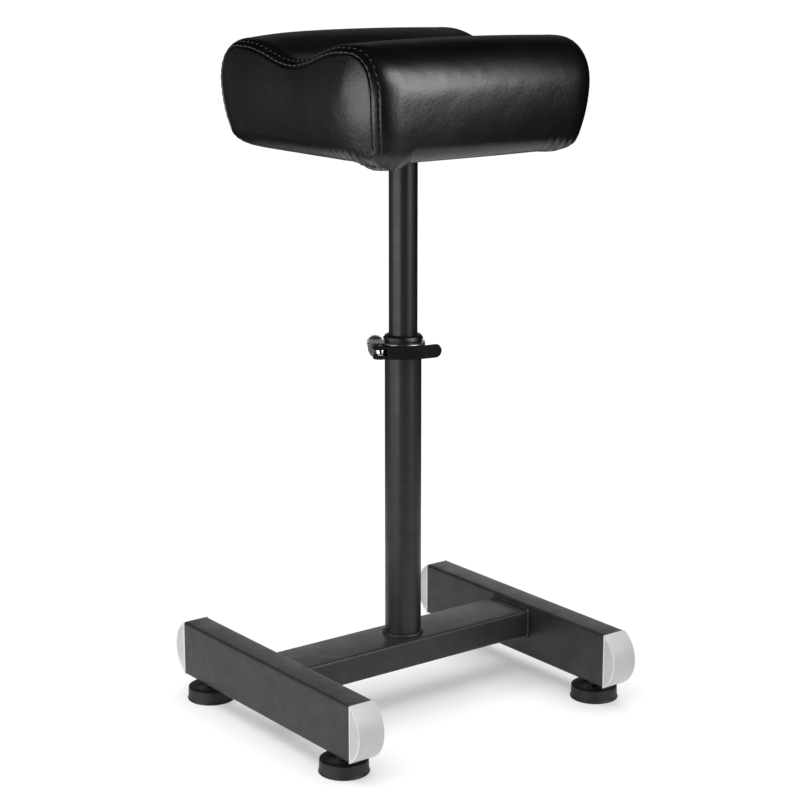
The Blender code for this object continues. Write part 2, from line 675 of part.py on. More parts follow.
def build_lever(frame, plastic):
    """The lever turns on the cam pin: two cam cheeks astride the skewer's eye, and the paddle."""
    axis = place("lever_axis", None, (SKEWER_REACH, PIN_REACH, 0), parent=frame)
    half = LEVER_HEIGHT / 2
    lever = place("lever", make_mesh("lever", paddle_shape(), plastic), parent=axis)
    cam = turned(solid_profile(CAM_RADIUS, -half, half), SMALL_SIDES)
    combine(lever, place_tool("lever_cam", cam, (0, -CAM_THROW, 0), parent=axis), "UNION")
    reach = 2 * CAM_RADIUS
    gap = EYE_HEIGHT / 2 + FIT_GAP
    plan = [(-CHEEK_REACH, -reach), (reach, -reach), (reach, reach), (-CHEEK_REACH, reach)]
    slot = lofted([at_height(plan, -gap), at_height(plan, gap)])
    combine(lever, place_tool("lever_slot", slot, parent=axis))
    hole = turned(solid_profile(PIN_RADIUS + FIT_GAP, -LEVER_HEIGHT, LEVER_HEIGHT), SMALL_SIDES)
    combine(lever, place_tool("lever_hole", hole, parent=axis))
    soften_edges(lever, LEVER_EDGE)


def build_clamp(metal, steel, plastic):
    frame = place("clamp_frame", None, (0, 0, CLAMP_MIDDLE), (0, 0, CLAMP_TURN))
    build_clamp_ring(frame, metal)
    build_skewer(frame, steel)
    build_cam_seat(frame, plastic)
    build_lever(frame, plastic)


def screw_places():
    half = SCREW_SPACING / 2
    return [(name, side * half, end * half) for name, side, end in CORNERS]


def screw_hole():
    """A stepped hole for one screw and its T-nut, from under the plate to above the board."""
    start = PLATE_BOTTOM - PLATE_THICKNESS
    step_up = BOARD_BOTTOM - FIT_GAP / 2
    counterbore = TEE_NUT_SEAT - FIT_GAP
    end = BOARD_TOP + BOARD_THICKNESS
    profile = [
        (0, start),
        (SCREW_RADIUS + FIT_GAP, start),
        (SCREW_RADIUS + FIT_GAP, step_up),
        (TEE_NUT_BARREL / 2 + FIT_GAP, step_up),
        (TEE_NUT_BARREL / 2 + FIT_GAP, counterbore),
        (TEE_NUT_FLANGE / 2 + FIT_GAP, counterbore),
        (TEE_NUT_FLANGE / 2 + FIT_GAP, end),
        (0, end),
    ]
    return turned(profile, SMALL_SIDES)


def build_mounting(coat, zinc):
    """The plate welded on the post, and its four screws in T-nuts."""
    half = PLATE_SIDE / 2
    outline = rounded_outline(half, half, PLATE_CORNER, PLATE_CORNER_STEPS)
    slab = lofted([at_height(outline, PLATE_BOTTOM), at_height(outline, PLATE_TOP)])
    plate = place("mounting_plate", make_mesh("mounting_plate", slab, coat))
    weld = make_mesh("plate_weld", round_weld(POST_RADIUS), coat)
    place("plate_weld", weld, (0, 0, PLATE_BOTTOM), (math.pi, 0, 0))
    head_top = PLATE_BOTTOM - FIT_GAP
    head_bottom = head_top - SCREW_HEAD_HEIGHT
    head = SCREW_HEAD_DIAMETER / 2
    recess = SCREW_RECESS_DIAMETER / 2
    screw = [
        (0, head_bottom + SCREW_RECESS_DEPTH),
        (recess, head_bottom + SCREW_RECESS_DEPTH),
        (recess, head_bottom),
        (head - SCREW_HEAD_BEVEL, head_bottom),
        (head, head_bottom + SCREW_HEAD_BEVEL),
        (head, head_top),
        (SCREW_RADIUS, head_top),
        (SCREW_RADIUS, BOARD_TOP - FIT_GAP),
        (0, BOARD_TOP - FIT_GAP),
    ]
    screw_mesh = make_mesh("plate_screw", turned(screw, SMALL_SIDES), zinc)
    bore = SCREW_RADIUS + FIT_GAP
    tee_nut = [
        (bore, BOARD_BOTTOM),
        (TEE_NUT_BARREL / 2, BOARD_BOTTOM),
        (TEE_NUT_BARREL / 2, TEE_NUT_SEAT),
        (TEE_NUT_FLANGE / 2, TEE_NUT_SEAT),
        (TEE_NUT_FLANGE / 2, BOARD_TOP - FIT_GAP),
        (bore, BOARD_TOP - FIT_GAP),
    ]
    tee_nut_mesh = make_mesh("tee_nut", turned(tee_nut, SMALL_SIDES), zinc)
    tools = []
    for name, x, y in screw_places():
        tools.append(place_tool(f"screw_hole_{name}", screw_hole(), (x, y, 0)))
        place(f"plate_screw_{name}", screw_mesh, (x, y, 0))
        place(f"tee_nut_{name}", tee_nut_mesh, (x, y, 0))
    for tool in tools:
        combine(plate, tool)
    return tools


def cushion_outline():
    return rounded_outline(HALF_LENGTH, HALF_WIDTH, CUSHION_CORNER, CUSHION_CORNER_STEPS, CUSHION_SIDE_STEPS)


def edge_roll(share):
    """One at the edge and zero from the inner end of the roll, along a quarter of a superellipse."""
    inward = 1 - min(max(share, 0), 1)
    return 1 - (1 - inward**ROLL_POWER) ** (1 / ROLL_POWER)


def top_height(x, y, inset):
    """Height of the padded top above the underside: two ridges, the groove between them and rolled edges."""
    groove = 0
    if abs(y) < RIDGE_OFFSET:
        groove = GROOVE_DEPTH * (1 + math.cos(math.pi * y / RIDGE_OFFSET)) / 2
    side = SIDE_DROP * edge_roll((HALF_WIDTH - inset - abs(y)) / SIDE_ROLL)
    end = END_DROP * edge_roll((HALF_LENGTH - inset - abs(x)) / END_ROLL)
    roll = (side**CORNER_BLEND + end**CORNER_BLEND) ** (1 / CORNER_BLEND)
    return CUSHION_HEIGHT - inset - groove - roll - CROWN * (x / HALF_LENGTH) ** 2


def shrunk(point, distance):
    """A plan point drawn in by a distance along both directions."""
    x, y = point
    return x * (1 - distance / HALF_LENGTH), y * (1 - distance / HALF_WIDTH)


def wall_loop(share, inset, floor):
    """A loop round the side wall at a share of the way from the floor to the rim, drawn in below."""
    points = []
    for point in cushion_outline():
        x, y = shrunk(point, inset)
        rim = top_height(x, y, inset)
        height = floor + (rim - floor) * share
        rise = (height - BOTTOM_EDGE) / (rim - BOTTOM_EDGE)
        x, y = shrunk(point, inset + DRAW_IN * (1 - rise) ** DRAW_POWER)
        points.append((x, y, height))
    return points


def top_loops(inset):
    loops = []
    rim = [shrunk(point, inset) for point in cushion_outline()]
    for scale in TOP_SCALES:
        plan = [(x * scale, y * scale) for x, y in rim]
        loops.append([(x, y, top_height(x, y, inset)) for x, y in plan])
    return loops


def underside_loop(distance, height):
    return [(*shrunk(point, DRAW_IN + distance), height) for point in cushion_outline()]


def close_with_fan(shape, height):
    """Closes the last open loop of the top with triangles to its middle."""
    middle = shape.verts.new((0, 0, height))
    for edge in [edge for edge in shape.edges if edge.is_boundary]:
        if edge.verts[0].co.z > height / 2:
            shape.faces.new((*edge.verts, middle))


def open_loft(loops):
    """Like a loft, but with both ends left open."""
    shape = lofted(loops)
    ends = [face for face in shape.faces if len(face.verts) > 4]
    bmesh.ops.delete(shape, geom=ends, context="FACES_ONLY")
    return shape


def build_cushion(leather, foam_finish, plywood, cloth, holes):
    """The sewn cover with its edge turned under, the foam, the base board and the dust cover."""
    corner = BOTTOM_EDGE * (1 - math.sqrt(0.5))
    under = [underside_loop(COVER_RETURN, 0), underside_loop(BOTTOM_EDGE, 0), underside_loop(corner, corner)]
    walls = [wall_loop(share, 0, BOTTOM_EDGE) for share in WALL_SHARES]
    skin = open_loft(under + walls + top_loops(0))
    close_with_fan(skin, top_height(0, 0, 0))
    cover = place("cushion_cover", make_mesh("cushion_cover", skin, leather), (0, 0, CUSHION_BOTTOM))
    thickness = cover.modifiers.new("hide", "SOLIDIFY")
    thickness.thickness = COVER_THICKNESS
    thickness.offset = -1
    thickness.use_even_offset = True

    inset = COVER_THICKNESS + 2 * FIT_GAP
    floor = FOAM_BOTTOM - CUSHION_BOTTOM
    block = open_loft([wall_loop(share, inset, floor) for share in WALL_SHARES] + top_loops(inset))
    close_with_fan(block, top_height(0, 0, inset))
    bottom = [edge for edge in block.edges if edge.is_boundary]
    bmesh.ops.contextual_create(block, geom=bottom)
    place("foam_block", make_mesh("foam_block", block, foam_finish), (0, 0, CUSHION_BOTTOM))

    shy = COVER_THICKNESS + FIT_GAP + BOARD_SHY
    lip = underside_loop(shy + BOARD_CHAMFER, BOARD_BOTTOM)
    loops = [lip, underside_loop(shy, BOARD_BOTTOM + BOARD_CHAMFER), underside_loop(shy, BOARD_TOP)]
    board = place("base_board", make_mesh("base_board", lofted(loops), plywood))
    faces = (DUST_COVER_BOTTOM, DUST_COVER_BOTTOM + DUST_COVER_THICKNESS)
    sheet = [underside_loop(COVER_RETURN + FIT_GAP, height) for height in faces]
    dust_cover = place("dust_cover", make_mesh("dust_cover", lofted(sheet), cloth))
    for hole in holes:
        combine(board, hole)
        combine(dust_cover, hole)


def main():
    clear_scene()
    coat = make_material("charcoal powder coat", 0.05, 0.5, 0.2)
    grey_plastic = make_material("light grey moulded plastic", 0.6, 0.45)
    black_plastic = make_material("black moulded plastic", 0.012, 0.4)
    rubber = make_material("black rubber", 0.012, 0.7)
    bright_metal = make_material("polished clamp metal", 0.65, 0.2, 1.0)
    zinc = make_material("zinc plated steel", 0.5, 0.35, 1.0)
    leather = make_material("black upholstery leather", 0.008, 0.35)
    foam = make_material("cream foam", (0.75, 0.68, 0.42), 0.9)
    plywood = make_material("plywood", (0.48, 0.28, 0.13), 0.7)
    cloth = make_material("black dust cloth", 0.015, 0.9)
    build_base(coat)
    build_end_caps(grey_plastic)
    build_feet(rubber, zinc)
    build_column(coat, black_plastic)
    build_clamp(bright_metal, zinc, black_plastic)
    holes = build_mounting(coat, zinc)
    build_cushion(leather, foam, plywood, cloth, holes)


main()
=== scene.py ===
"""Looks of a tattoo footrest: a grooved leather cushion on a post that slides and turns in a column.

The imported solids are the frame. Each piece that shows is modelled again over its solid with the detail of
the real one and moves with the same body. Lengths are in metres, +Z is up and the front is at -Y.
"""

import json
import math

import bmesh
import bpy
import numpy as np
from mathutils import Matrix, Quaternion, Vector
from mathutils.kdtree import KDTree


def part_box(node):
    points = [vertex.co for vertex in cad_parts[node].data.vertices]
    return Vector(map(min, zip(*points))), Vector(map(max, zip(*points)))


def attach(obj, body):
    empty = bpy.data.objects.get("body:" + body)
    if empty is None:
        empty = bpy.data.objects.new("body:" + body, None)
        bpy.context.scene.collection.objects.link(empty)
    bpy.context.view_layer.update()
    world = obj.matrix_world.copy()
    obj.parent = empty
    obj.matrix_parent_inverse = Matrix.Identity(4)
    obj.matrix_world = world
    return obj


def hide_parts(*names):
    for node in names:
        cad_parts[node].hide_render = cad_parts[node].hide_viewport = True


bl_info = {
    "name": "Tattoo footrest",
    "version": (1, 0, 0),
    "blender": (4, 5, 0),
    "location": "View3D > Sidebar > Footrest",
    "description": "Models the footrest's pieces over its packed solids",
    "category": "Object",
}

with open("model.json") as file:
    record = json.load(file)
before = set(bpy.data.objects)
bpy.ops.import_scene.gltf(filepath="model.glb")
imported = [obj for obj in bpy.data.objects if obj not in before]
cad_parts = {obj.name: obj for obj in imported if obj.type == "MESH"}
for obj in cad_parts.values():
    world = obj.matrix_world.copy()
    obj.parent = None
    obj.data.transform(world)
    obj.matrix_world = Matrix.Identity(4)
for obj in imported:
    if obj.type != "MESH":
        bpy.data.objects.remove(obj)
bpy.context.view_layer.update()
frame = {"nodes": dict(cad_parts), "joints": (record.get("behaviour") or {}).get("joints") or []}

MM = 0.001
# Each corner with its side along X and its end along Y
CORNERS = (("front_left", -1, -1), ("front_right", 1, -1), ("back_left", -1, 1), ("back_right", 1, 1))
# Sides of a large and a small round, and the angles of a quarter turn
ROUND, SMALL_ROUND = 128, 48
QUARTER = [math.pi / 2 * step / 8 for step in range(9)]
# Share of an edge or a normal along an axis from which it counts as lying along it
MOSTLY = 0.9
# Clearance between pieces that fit together
FIT = 0.3 * MM

BAR_LOW, BAR_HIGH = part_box("right_foot_bar")
CROSS_LOW, CROSS_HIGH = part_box("cross_tube")
COLUMN_LOW, COLUMN_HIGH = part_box("outer_column")
POST_LOW, POST_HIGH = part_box("inner_post")
BUSH_LOW, BUSH_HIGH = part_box("guide_bush")
PLATE_LOW, PLATE_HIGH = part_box("mounting_plate")
CAP_LOW, CAP_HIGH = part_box("end_cap_back_right")
PAD_LOW, PAD_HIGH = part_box("foot_pad_back_right")
STUD_LOW, STUD_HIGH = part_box("foot_stud_back_right")
NUT_LOW, NUT_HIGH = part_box("jam_nut_back_right")
SCREW_LOW, SCREW_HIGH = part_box("plate_screw_back_right")
RING_LOW, RING_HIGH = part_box("clamp_ring")
LEVER_LOW, LEVER_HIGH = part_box("lever")
COVER_LOW, COVER_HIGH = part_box("cushion_cover")
BOARD_LOW, BOARD_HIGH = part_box("base_board")
TEE_LOW, TEE_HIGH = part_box("tee_nut_back_right")

STUD_RADIUS = (STUD_HIGH.x - STUD_LOW.x) / 2
LEVER_HALF = (LEVER_HIGH.z - LEVER_LOW.z) / 2
PIVOTS = {joint["name"]: Vector(joint["pos_m"]) for joint in frame["joints"] if joint.get("pos_m")}


def linear(hex_colour):
    """Turns an sRGB hex value into linear red, green and blue."""
    parts = [int(hex_colour[place : place + 2], 16) / 255 for place in (1, 3, 5)]
    return tuple(part / 12.92 if part <= 0.04045 else ((part + 0.055) / 1.055) ** 2.4 for part in parts)


def length(name, description, default):
    """A property that holds a length."""
    return bpy.props.FloatProperty(
        name=name, description=description, default=default, min=0.0, unit="LENGTH", precision=5
    )


def bearing(name, description, degrees):
    """A property that holds an angle."""
    return bpy.props.FloatProperty(
        name=name, description=description, default=math.radians(degrees), subtype="ANGLE"
    )


def colour(name, description, hex_colour):
    """A property that holds a colour."""
    return bpy.props.FloatVectorProperty(
        name=name, description=description, default=linear(hex_colour), min=0.0, max=1.0, subtype="COLOR"
    )


class FootrestSizes(bpy.types.PropertyGroup):
    """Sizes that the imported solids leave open, such as roundings, beads and sewing."""

    tube_wall: length("Tube wall", "Wall of every steel tube", 2 * MM)
    tube_corner: length("Tube corner", "Outside corner radius of the rectangular tube", 3 * MM)
    weld_bead: length("Weld bead", "Radius of the weld beads' section", 1.9 * MM)
    weld_pitch: length("Weld pitch", "Distance between two ripples of a weld bead", 2.4 * MM)
    cap_bead: length("Cap bead", "Width of the raised bead round the end caps", 2.2 * MM)
    cap_sink: length("Cap sink", "How far the end caps' sides lie below the bead", 0.7 * MM)
    thread_pitch: length("Thread pitch", "Distance between two turns of the studs' thread", 1.25 * MM)
    stitch_pitch: length("Stitch pitch", "Distance from one stitch of the cover to the next", 8 * MM)
    stitch_width: length("Stitch width", "Thickness of the sewing thread as it shows", 0.8 * MM)
    edge_row: length("Edge row", "Distance of the first row of stitches from the seam", 1.0 * MM)
    edge_stitch: length("Edge stitch", "Length of a stitch of the first row", 6.2 * MM)
    inner_row: length("Inner row", "Distance of the second row of stitches from the seam", 7.4 * MM)
    inner_stitch: length("Inner stitch", "Length of a stitch of the second row", 3.2 * MM)
    seam_lap: length("Seam lap", "How far the folded edge of the top panel stands proud", 0.8 * MM)
    swell: length("Swell", "Most that the filling pushes the leather out", 7 * MM)
    gather: length("Gather", "Depth of the hem and the puckers under the cushion", 1.0 * MM)
    staple: length("Staple", "Width of the staples under the cushion", 10 * MM)


class FootrestColours(bpy.types.PropertyGroup):
    """Colours of the finishes."""

    coat: colour("Powder coat", "Charcoal coat on the steel", "#2a2a2a")
    cap: colour("End caps", "Light grey moulded plastic", "#cccccc")
    # The bead's lighter colour is a painted highlight; the bead is also glossier than the caps
    cap_bead_highlight: colour("End cap bead", "Lighter, polished bead round the end caps", "#e2e2e2")
    rubber: colour("Rubber", "Black rubber of the feet", "#0f0f0f")
    plastic: colour("Plastic", "Black moulded plastic of the guides and the cam seat", "#0f0f10")
    nylon: colour("Nylon", "Black grained nylon of the lever", "#0c0c0d")
    bright: colour("Bright metal", "Polished metal of the skewer and its pin", "#d9dadc")
    zinc: colour("Zinc", "Zinc plate on the ring, screws, nuts and studs", "#b3b5b8")
    leather: colour("Leather", "Black upholstery leather", "#080809")
    thread: colour("Thread", "Grey sewing thread", "#4c4c4f")
    cloth: colour("Dust cloth", "Black felted cloth under the cushion", "#141415")
    plywood: colour("Plywood", "Birch plywood of the base board", "#c8a274")
    floor: colour("Floor", "Pale studio floor", "#d0d0d0")


class FootrestView(bpy.types.PropertyGroup):
    """Where the camera stands."""

    azimuth: bearing("Azimuth", "Turn of the camera about the column", -37.034)
    elevation: bearing("Elevation", "Height angle of the camera", 13.299)
    distance: length("Distance", "From the camera to the point it looks at", 2.16389)
    aim: length("Aim", "Height of the point that the camera looks at", 0.33336)
    aside: bpy.props.FloatProperty(
        name="Aside", description="Shift of the camera to its right", default=-5.365 * MM, unit="LENGTH"
    )
    lens: bpy.props.FloatProperty(
        name="Lens", description="Focal length in millimetres", default=93.157, subtype="NONE"
    )


def sizes():
    """The sizes of the scene in hand."""
    return bpy.context.scene.footrest_sizes


def finish_of(name):
    """The material with a name."""
    return bpy.data.materials[name]


def start(name):
    """Names the primitive that was just added and puts its place into its mesh."""
    piece = bpy.context.object
    piece.name = name
    piece.data.name = name
    only(piece)
    bpy.ops.object.transform_apply(location=True, rotation=True, scale=True)
    return piece


def only(piece):
    """Selects one piece and makes it the active one."""
    bpy.ops.object.select_all(action="DESELECT")
    piece.select_set(True)
    bpy.context.view_layer.objects.active = piece


def edit(piece, kind):
    """Opens a piece's mesh for selecting points, edges or faces."""
    only(piece)
    bpy.ops.object.mode_set(mode="EDIT")
    bpy.ops.mesh.select_mode(type=kind)


def leave():
    """Closes the mesh in hand."""
    bpy.ops.object.mode_set(mode="OBJECT")


def pick(piece, kind, wanted):
    """Selects the edges or faces of the mesh in hand that pass a test."""
    bpy.ops.mesh.select_all(action="DESELECT")
    shape = bmesh.from_edit_mesh(piece.data)
    for element in getattr(shape, kind):
        if wanted(element):
            element.select_set(True)
    shape.select_flush_mode()
    bmesh.update_edit_mesh(piece.data)


def runs_along(edge, axis):
    """Whether an edge lies along an axis."""
    step = edge.verts[1].co - edge.verts[0].co
    return abs(step[axis]) > MOSTLY * step.length


def bevel_along(piece, axis, radius, segments):
    """Rounds the edges of a block that lie along an axis."""
    edit(piece, "EDGE")
    pick(piece, "edges", lambda edge: runs_along(edge, axis))
    bpy.ops.mesh.bevel(offset=radius, segments=segments)
    leave()


def apply(piece, modifier):
    """Turns what a modifier does into mesh."""
    only(piece)
    bpy.ops.object.modifier_apply(modifier=modifier.name)


def combine(piece, tool, operation):
    """Cuts a tool out of a piece, or joins it on, and removes the tool."""
    step = piece.modifiers.new(operation.lower(), "BOOLEAN")
    step.operation = operation
    step.solver = "EXACT"
    step.object = tool
    apply(piece, step)
    bpy.data.objects.remove(tool, do_unlink=True)


def bore(piece, radius, first, last, sides=SMALL_ROUND):
    """Drills a hole from one point to another."""
    combine(piece, rod("drill", radius, first, last, sides), "DIFFERENCE")


def soften(piece, width, segments=3, limit=35):
    """Rounds every sharp edge."""
    bevel = piece.modifiers.new("rounding", "BEVEL")
    bevel.width = width
    bevel.segments = segments
    bevel.limit_method = "ANGLE"
    bevel.angle_limit = math.radians(limit)
    apply(piece, bevel)


def tidy(piece):
    """Merges doubles and turns the faces outwards."""
    edit(piece, "VERT")
    bpy.ops.mesh.select_all(action="SELECT")
    bpy.ops.mesh.remove_doubles(threshold=0.002 * MM)
    bpy.ops.mesh.normals_make_consistent(inside=False)
    leave()


def turned(name, profile, sides=ROUND):
    """Draws a profile of (radius, height) points by extruding one point, and spins it about Z."""
    bpy.ops.mesh.primitive_plane_add(size=MM, location=(profile[0][0], 0, profile[0][1]))
    piece = start(name)
    edit(piece, "VERT")
    bpy.ops.mesh.select_all(action="SELECT")
    bpy.ops.mesh.merge(type="CENTER")
    for (radius, height), (next_radius, next_height) in zip(profile, profile[1:]):
        step = (next_radius - radius, 0, next_height - height)
        bpy.ops.mesh.extrude_region_move(TRANSFORM_OT_translate={"value": step})
    bpy.ops.mesh.select_all(action="SELECT")
    bpy.ops.mesh.spin(steps=sides, angle=2 * math.pi, center=(0, 0, 0), axis=(0, 0, 1))
    leave()
    tidy(piece)
    return piece


def block(name, low, high):
    """A box between two corners."""
    low, high = Vector(low), Vector(high)
    bpy.ops.mesh.primitive_cube_add(size=1, location=(low + high) / 2, scale=high - low)
    return start(name)


def sheet(name, place, turn, size):
    """A flat rectangle of a given size, turned and put in place."""
    bpy.ops.mesh.primitive_plane_add(size=1, location=place, rotation=turn)
    bpy.context.object.scale = (*size, 1)
    return start(name)


def rod(name, radius, first, last, sides=SMALL_ROUND):
    """A plain cylinder between two points."""
    first, last = Vector(first), Vector(last)
    along = last - first
    turn = along.to_track_quat("Z", "Y").to_euler()
    bpy.ops.mesh.primitive_cylinder_add(
        vertices=sides, radius=radius, depth=along.length, location=(first + last) / 2, rotation=turn
    )
    return start(name)


def copy_of(piece, name, place):
    """A copy with its own mesh, moved by a matrix that may mirror it."""
    twin = bpy.data.objects.new(name, piece.data.copy())
    twin.data.name = name
    bpy.context.scene.collection.objects.link(twin)
    twin.data.transform(place)
    if place.determinant() < 0:
        twin.data.flip_normals()
    return twin


def dress(piece, material, body, nodes, angle=32):
    """Shades a finished piece, gives it its finish, and makes it stand for its solids."""
    only(piece)
    bpy.ops.object.shade_smooth_by_angle(angle=math.radians(angle))
    piece.data.materials.clear()
    piece.data.materials.append(finish_of(material))
    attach(piece, body)
    if nodes:
        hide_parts(*nodes)


NOISE, CELLS, WAVES = "ShaderNodeTexNoise", "ShaderNodeTexVoronoi", "ShaderNodeTexWave"
# Output of each pattern that holds its value
VALUES = {NOISE: "Fac", CELLS: "Distance", WAVES: "Fac"}
# Width of a dark and a light band of a wave texture at scale one; slanting bands are 2 / sqrt(3) as wide
WAVE_BAND = math.pi / 10
# Parts of a pattern's range
WHOLE, WIDE, MIDDLE = (0, 1), (0.2, 0.8), (0.3, 0.7)


def per_mm(size):
    """Scale of a pattern on Object coordinates whose features are this many millimetres wide."""
    return 1 / (size * MM)


def add_node(material, kind, links=None, ramp=None, **settings):
    """Adds a node. Links maps its sockets to values or to other nodes' outputs, a ramp gives its stops."""
    added = material.node_tree.nodes.new(kind)
    for name, value in settings.items():
        setattr(added, name, value)
    for stop, (position, shade) in zip(added.color_ramp.elements if ramp else (), ramp or ()):
        stop.position = position
        stop.color = (*shade, 1.0)
    for socket, value in (links or {}).items():
        if isinstance(value, bpy.types.NodeSocket):
            material.node_tree.links.new(value, added.inputs[socket])
        else:
            added.inputs[socket].default_value = value
    return added


def new_material(name, **fixed):
    """A material with the values that are the same all over it, and the link to its Object coordinates."""
    material = bpy.data.materials.new(name)
    material.use_nodes = True
    surface = material.node_tree.nodes["Principled BSDF"]
    for socket, value in fixed.items():
        surface.inputs[socket.replace("_", " ")].default_value = value
    return material, {"Vector": add_node(material, "ShaderNodeTexCoord").outputs["Object"]}


def shades(base, spread):
    """A darker and a lighter shade of one colour."""
    return [tuple(part * factor for part in base) for factor in (1 - spread, 1 + spread)]


def lay_finish(material, tint, gloss, relief=()):
    """Colours, roughens and raises a material by its patterns.

    Tint is a pattern, the two values of it that have the shades, and the shades. Gloss is a pattern, the
    range of it that counts, and the roughness at both ends. Each relief is a pattern, the strength of its
    bump and its height in millimetres, from the coarsest to the finest.
    """
    pattern, stops, pair = tint
    value = {"Fac": pattern.outputs[VALUES[pattern.bl_idname]]}
    ramp = add_node(material, "ShaderNodeValToRGB", value, ramp=list(zip(stops, pair)))
    pattern, (low, high), (first, last) = gloss
    value = {"Value": pattern.outputs[VALUES[pattern.bl_idname]]}
    span = {"From Min": low, "From Max": high, "To Min": first, "To Max": last}
    sheen = add_node(material, "ShaderNodeMapRange", {**value, **span})
    links = {"Base Color": ramp.outputs["Color"], "Roughness": sheen.outputs["Result"]}
    under = {}
    for pattern, strength, height in relief:
        value = {"Height": pattern.outputs[VALUES[pattern.bl_idname]], **under}
        bump = add_node(material, "ShaderNodeBump", {**value, "Strength": strength, "Distance": height * MM})
        under = {"Normal": bump.outputs["Normal"]}
    for socket, output in {**links, **under}.items():
        material.node_tree.links.new(output, material.node_tree.nodes["Principled BSDF"].inputs[socket])


def powder_coat(base):
    """Polyester powder baked on steel: an even film with a fine orange-peel skin and a soft sheen."""
    material, where = new_material("charcoal powder coat", IOR=1.38)
    # The peel of the real coat is about 0.8 mm wide; it is drawn at 1.8 mm so that it shows
    peel = add_node(material, NOISE, {**where, "Scale": per_mm(1.8), "Detail": 3.0, "Roughness": 0.5})
    cloud = add_node(material, NOISE, {**where, "Scale": per_mm(22), "Detail": 6.0, "Roughness": 0.62})
    tint, gloss = (cloud, WIDE, shades(base, 0.45)), (cloud, WIDE, (0.46, 0.32))
    lay_finish(material, tint, gloss, [(peel, 0.2, 0.15)])


def moulded_plastic(name, base, gloss, grain, index):
    """Injection-moulded plastic: an even colour with the fine spark-eroded grain of its mould."""
    material, where = new_material(name, IOR=index)
    # The mould's grain is about 0.3 mm wide; it is drawn at the width given so that it shows
    speck = add_node(material, NOISE, {**where, "Scale": per_mm(grain), "Detail": 4.0, "Roughness": 0.6})
    flow = add_node(material, NOISE, {**where, "Scale": per_mm(25), "Detail": 1.0})
    tint, gloss = (flow, MIDDLE, shades(base, 0.05)), (speck, MIDDLE, (gloss - 0.05, gloss + 0.05))
    lay_finish(material, tint, gloss, [(speck, 0.1, 0.1)])


def black_rubber(base):
    """Moulded nitrile rubber: dull black with a faint grey bloom and a fine matt grain."""
    material, where = new_material("black moulded rubber", IOR=1.42)
    grain = add_node(material, NOISE, {**where, "Scale": per_mm(0.9), "Detail": 5.0, "Roughness": 0.65})
    bloom = add_node(material, NOISE, {**where, "Scale": per_mm(14), "Detail": 3.0})
    tint, gloss = (bloom, MIDDLE, shades(base, 0.25)), (bloom, MIDDLE, (0.5, 0.62))
    lay_finish(material, tint, gloss, [(grain, 0.2, 0.1)])


def bright_metal(base):
    """Polished and chromed steel: mirror bright with a faint ripple left by polishing."""
    material, where = new_material("polished chrome", Metallic=1.0)
    ripple = add_node(material, NOISE, {**where, "Scale": per_mm(5), "Detail": 2.0})
    smear = add_node(material, NOISE, {**where, "Scale": per_mm(1.2), "Detail": 4.0})
    tint, gloss = (ripple, MIDDLE, shades(base, 0.06)), (smear, MIDDLE, (0.1, 0.2))
    lay_finish(material, tint, gloss, [(ripple, 0.08, 0.2)])


def zinc_plate(base):
    """Electroplated zinc on steel: pale grey metal, softly blurred, with a fine spangle."""
    material, where = new_material("zinc plated steel", Metallic=1.0)
    spangle = add_node(material, CELLS, {**where, "Scale": per_mm(1.6), "Randomness": 1.0}, feature="F1")
    dark, light = shades(base, 0.14)
    tint, gloss = (spangle, (0.1, 0.8), (light, dark)), (spangle, (0, 0.8), (0.26, 0.38))
    lay_finish(material, tint, gloss, [(spangle, 0.06, 0.1)])


def leather(base):
    """Coated upholstery leather: a smooth black film over a pebbled grain, half glossy where it is tight."""
    material, where = new_material("black upholstery leather", IOR=1.5)
    # The embossed grain is about 0.9 mm wide; it is drawn at 1.7 mm so that it shows
    cells = {**where, "Scale": per_mm(1.7), "Randomness": 0.95}
    pebble = add_node(material, CELLS, cells, feature="DISTANCE_TO_EDGE")
    pore = add_node(material, NOISE, {**where, "Scale": per_mm(3.5), "Detail": 4.0, "Roughness": 0.6})
    # Foam pressed by hand leaves soft dents, about 26 mm wide, that bend the long highlights
    dent = add_node(material, NOISE, {**where, "Scale": per_mm(26), "Detail": 1.0})
    stretch = add_node(material, NOISE, {**where, "Scale": per_mm(70), "Detail": 2.0})
    tint, gloss = (stretch, WHOLE, shades(base, 0.2)), (stretch, WHOLE, (0.27, 0.39))
    lay_finish(material, tint, gloss, [(dent, 0.7, 0.8), (pore, 0.55, 0.35), (pebble, 0.22, 0.15)])


def sewing_thread(base):
    """Twisted polyester thread: grey with a slight sheen, with painted shade in the grooves between its
    plies.
    """
    material, where = new_material("grey polyester thread", IOR=1.55, Sheen_Weight=0.3)
    # The plies lie about 0.5 mm apart; they are drawn at 0.8 mm so that they show
    scale = per_mm(0.8) * WAVE_BAND * 2 / math.sqrt(3)
    twist = {**where, "Scale": scale, "Distortion": 2.0, "Detail": 2.0}
    # The darker bands of this pattern are painted shade in the grooves between the plies
    lay = add_node(material, WAVES, twist, bands_direction="DIAGONAL")
    lay_finish(material, (lay, WIDE, shades(base, 0.25)), (lay, WHOLE, (0.55, 0.7)))


def dust_cloth(base):
    """Spun-bonded dust cloth: matt black felt of short fibres with a faint dimpled bond pattern."""
    material, where = new_material("black felted cloth", IOR=1.5, Sheen_Weight=0.2)
    fibre = add_node(material, NOISE, {**where, "Scale": per_mm(1.5), "Detail": 6.0, "Roughness": 0.75})
    dimple = add_node(material, CELLS, {**where, "Scale": per_mm(2.5), "Randomness": 0.15})
    tint, gloss = (fibre, MIDDLE, shades(base, 0.4)), (fibre, WHOLE, (0.85, 1.0))
    lay_finish(material, tint, gloss, [(dimple, 0.4, 0.3)])


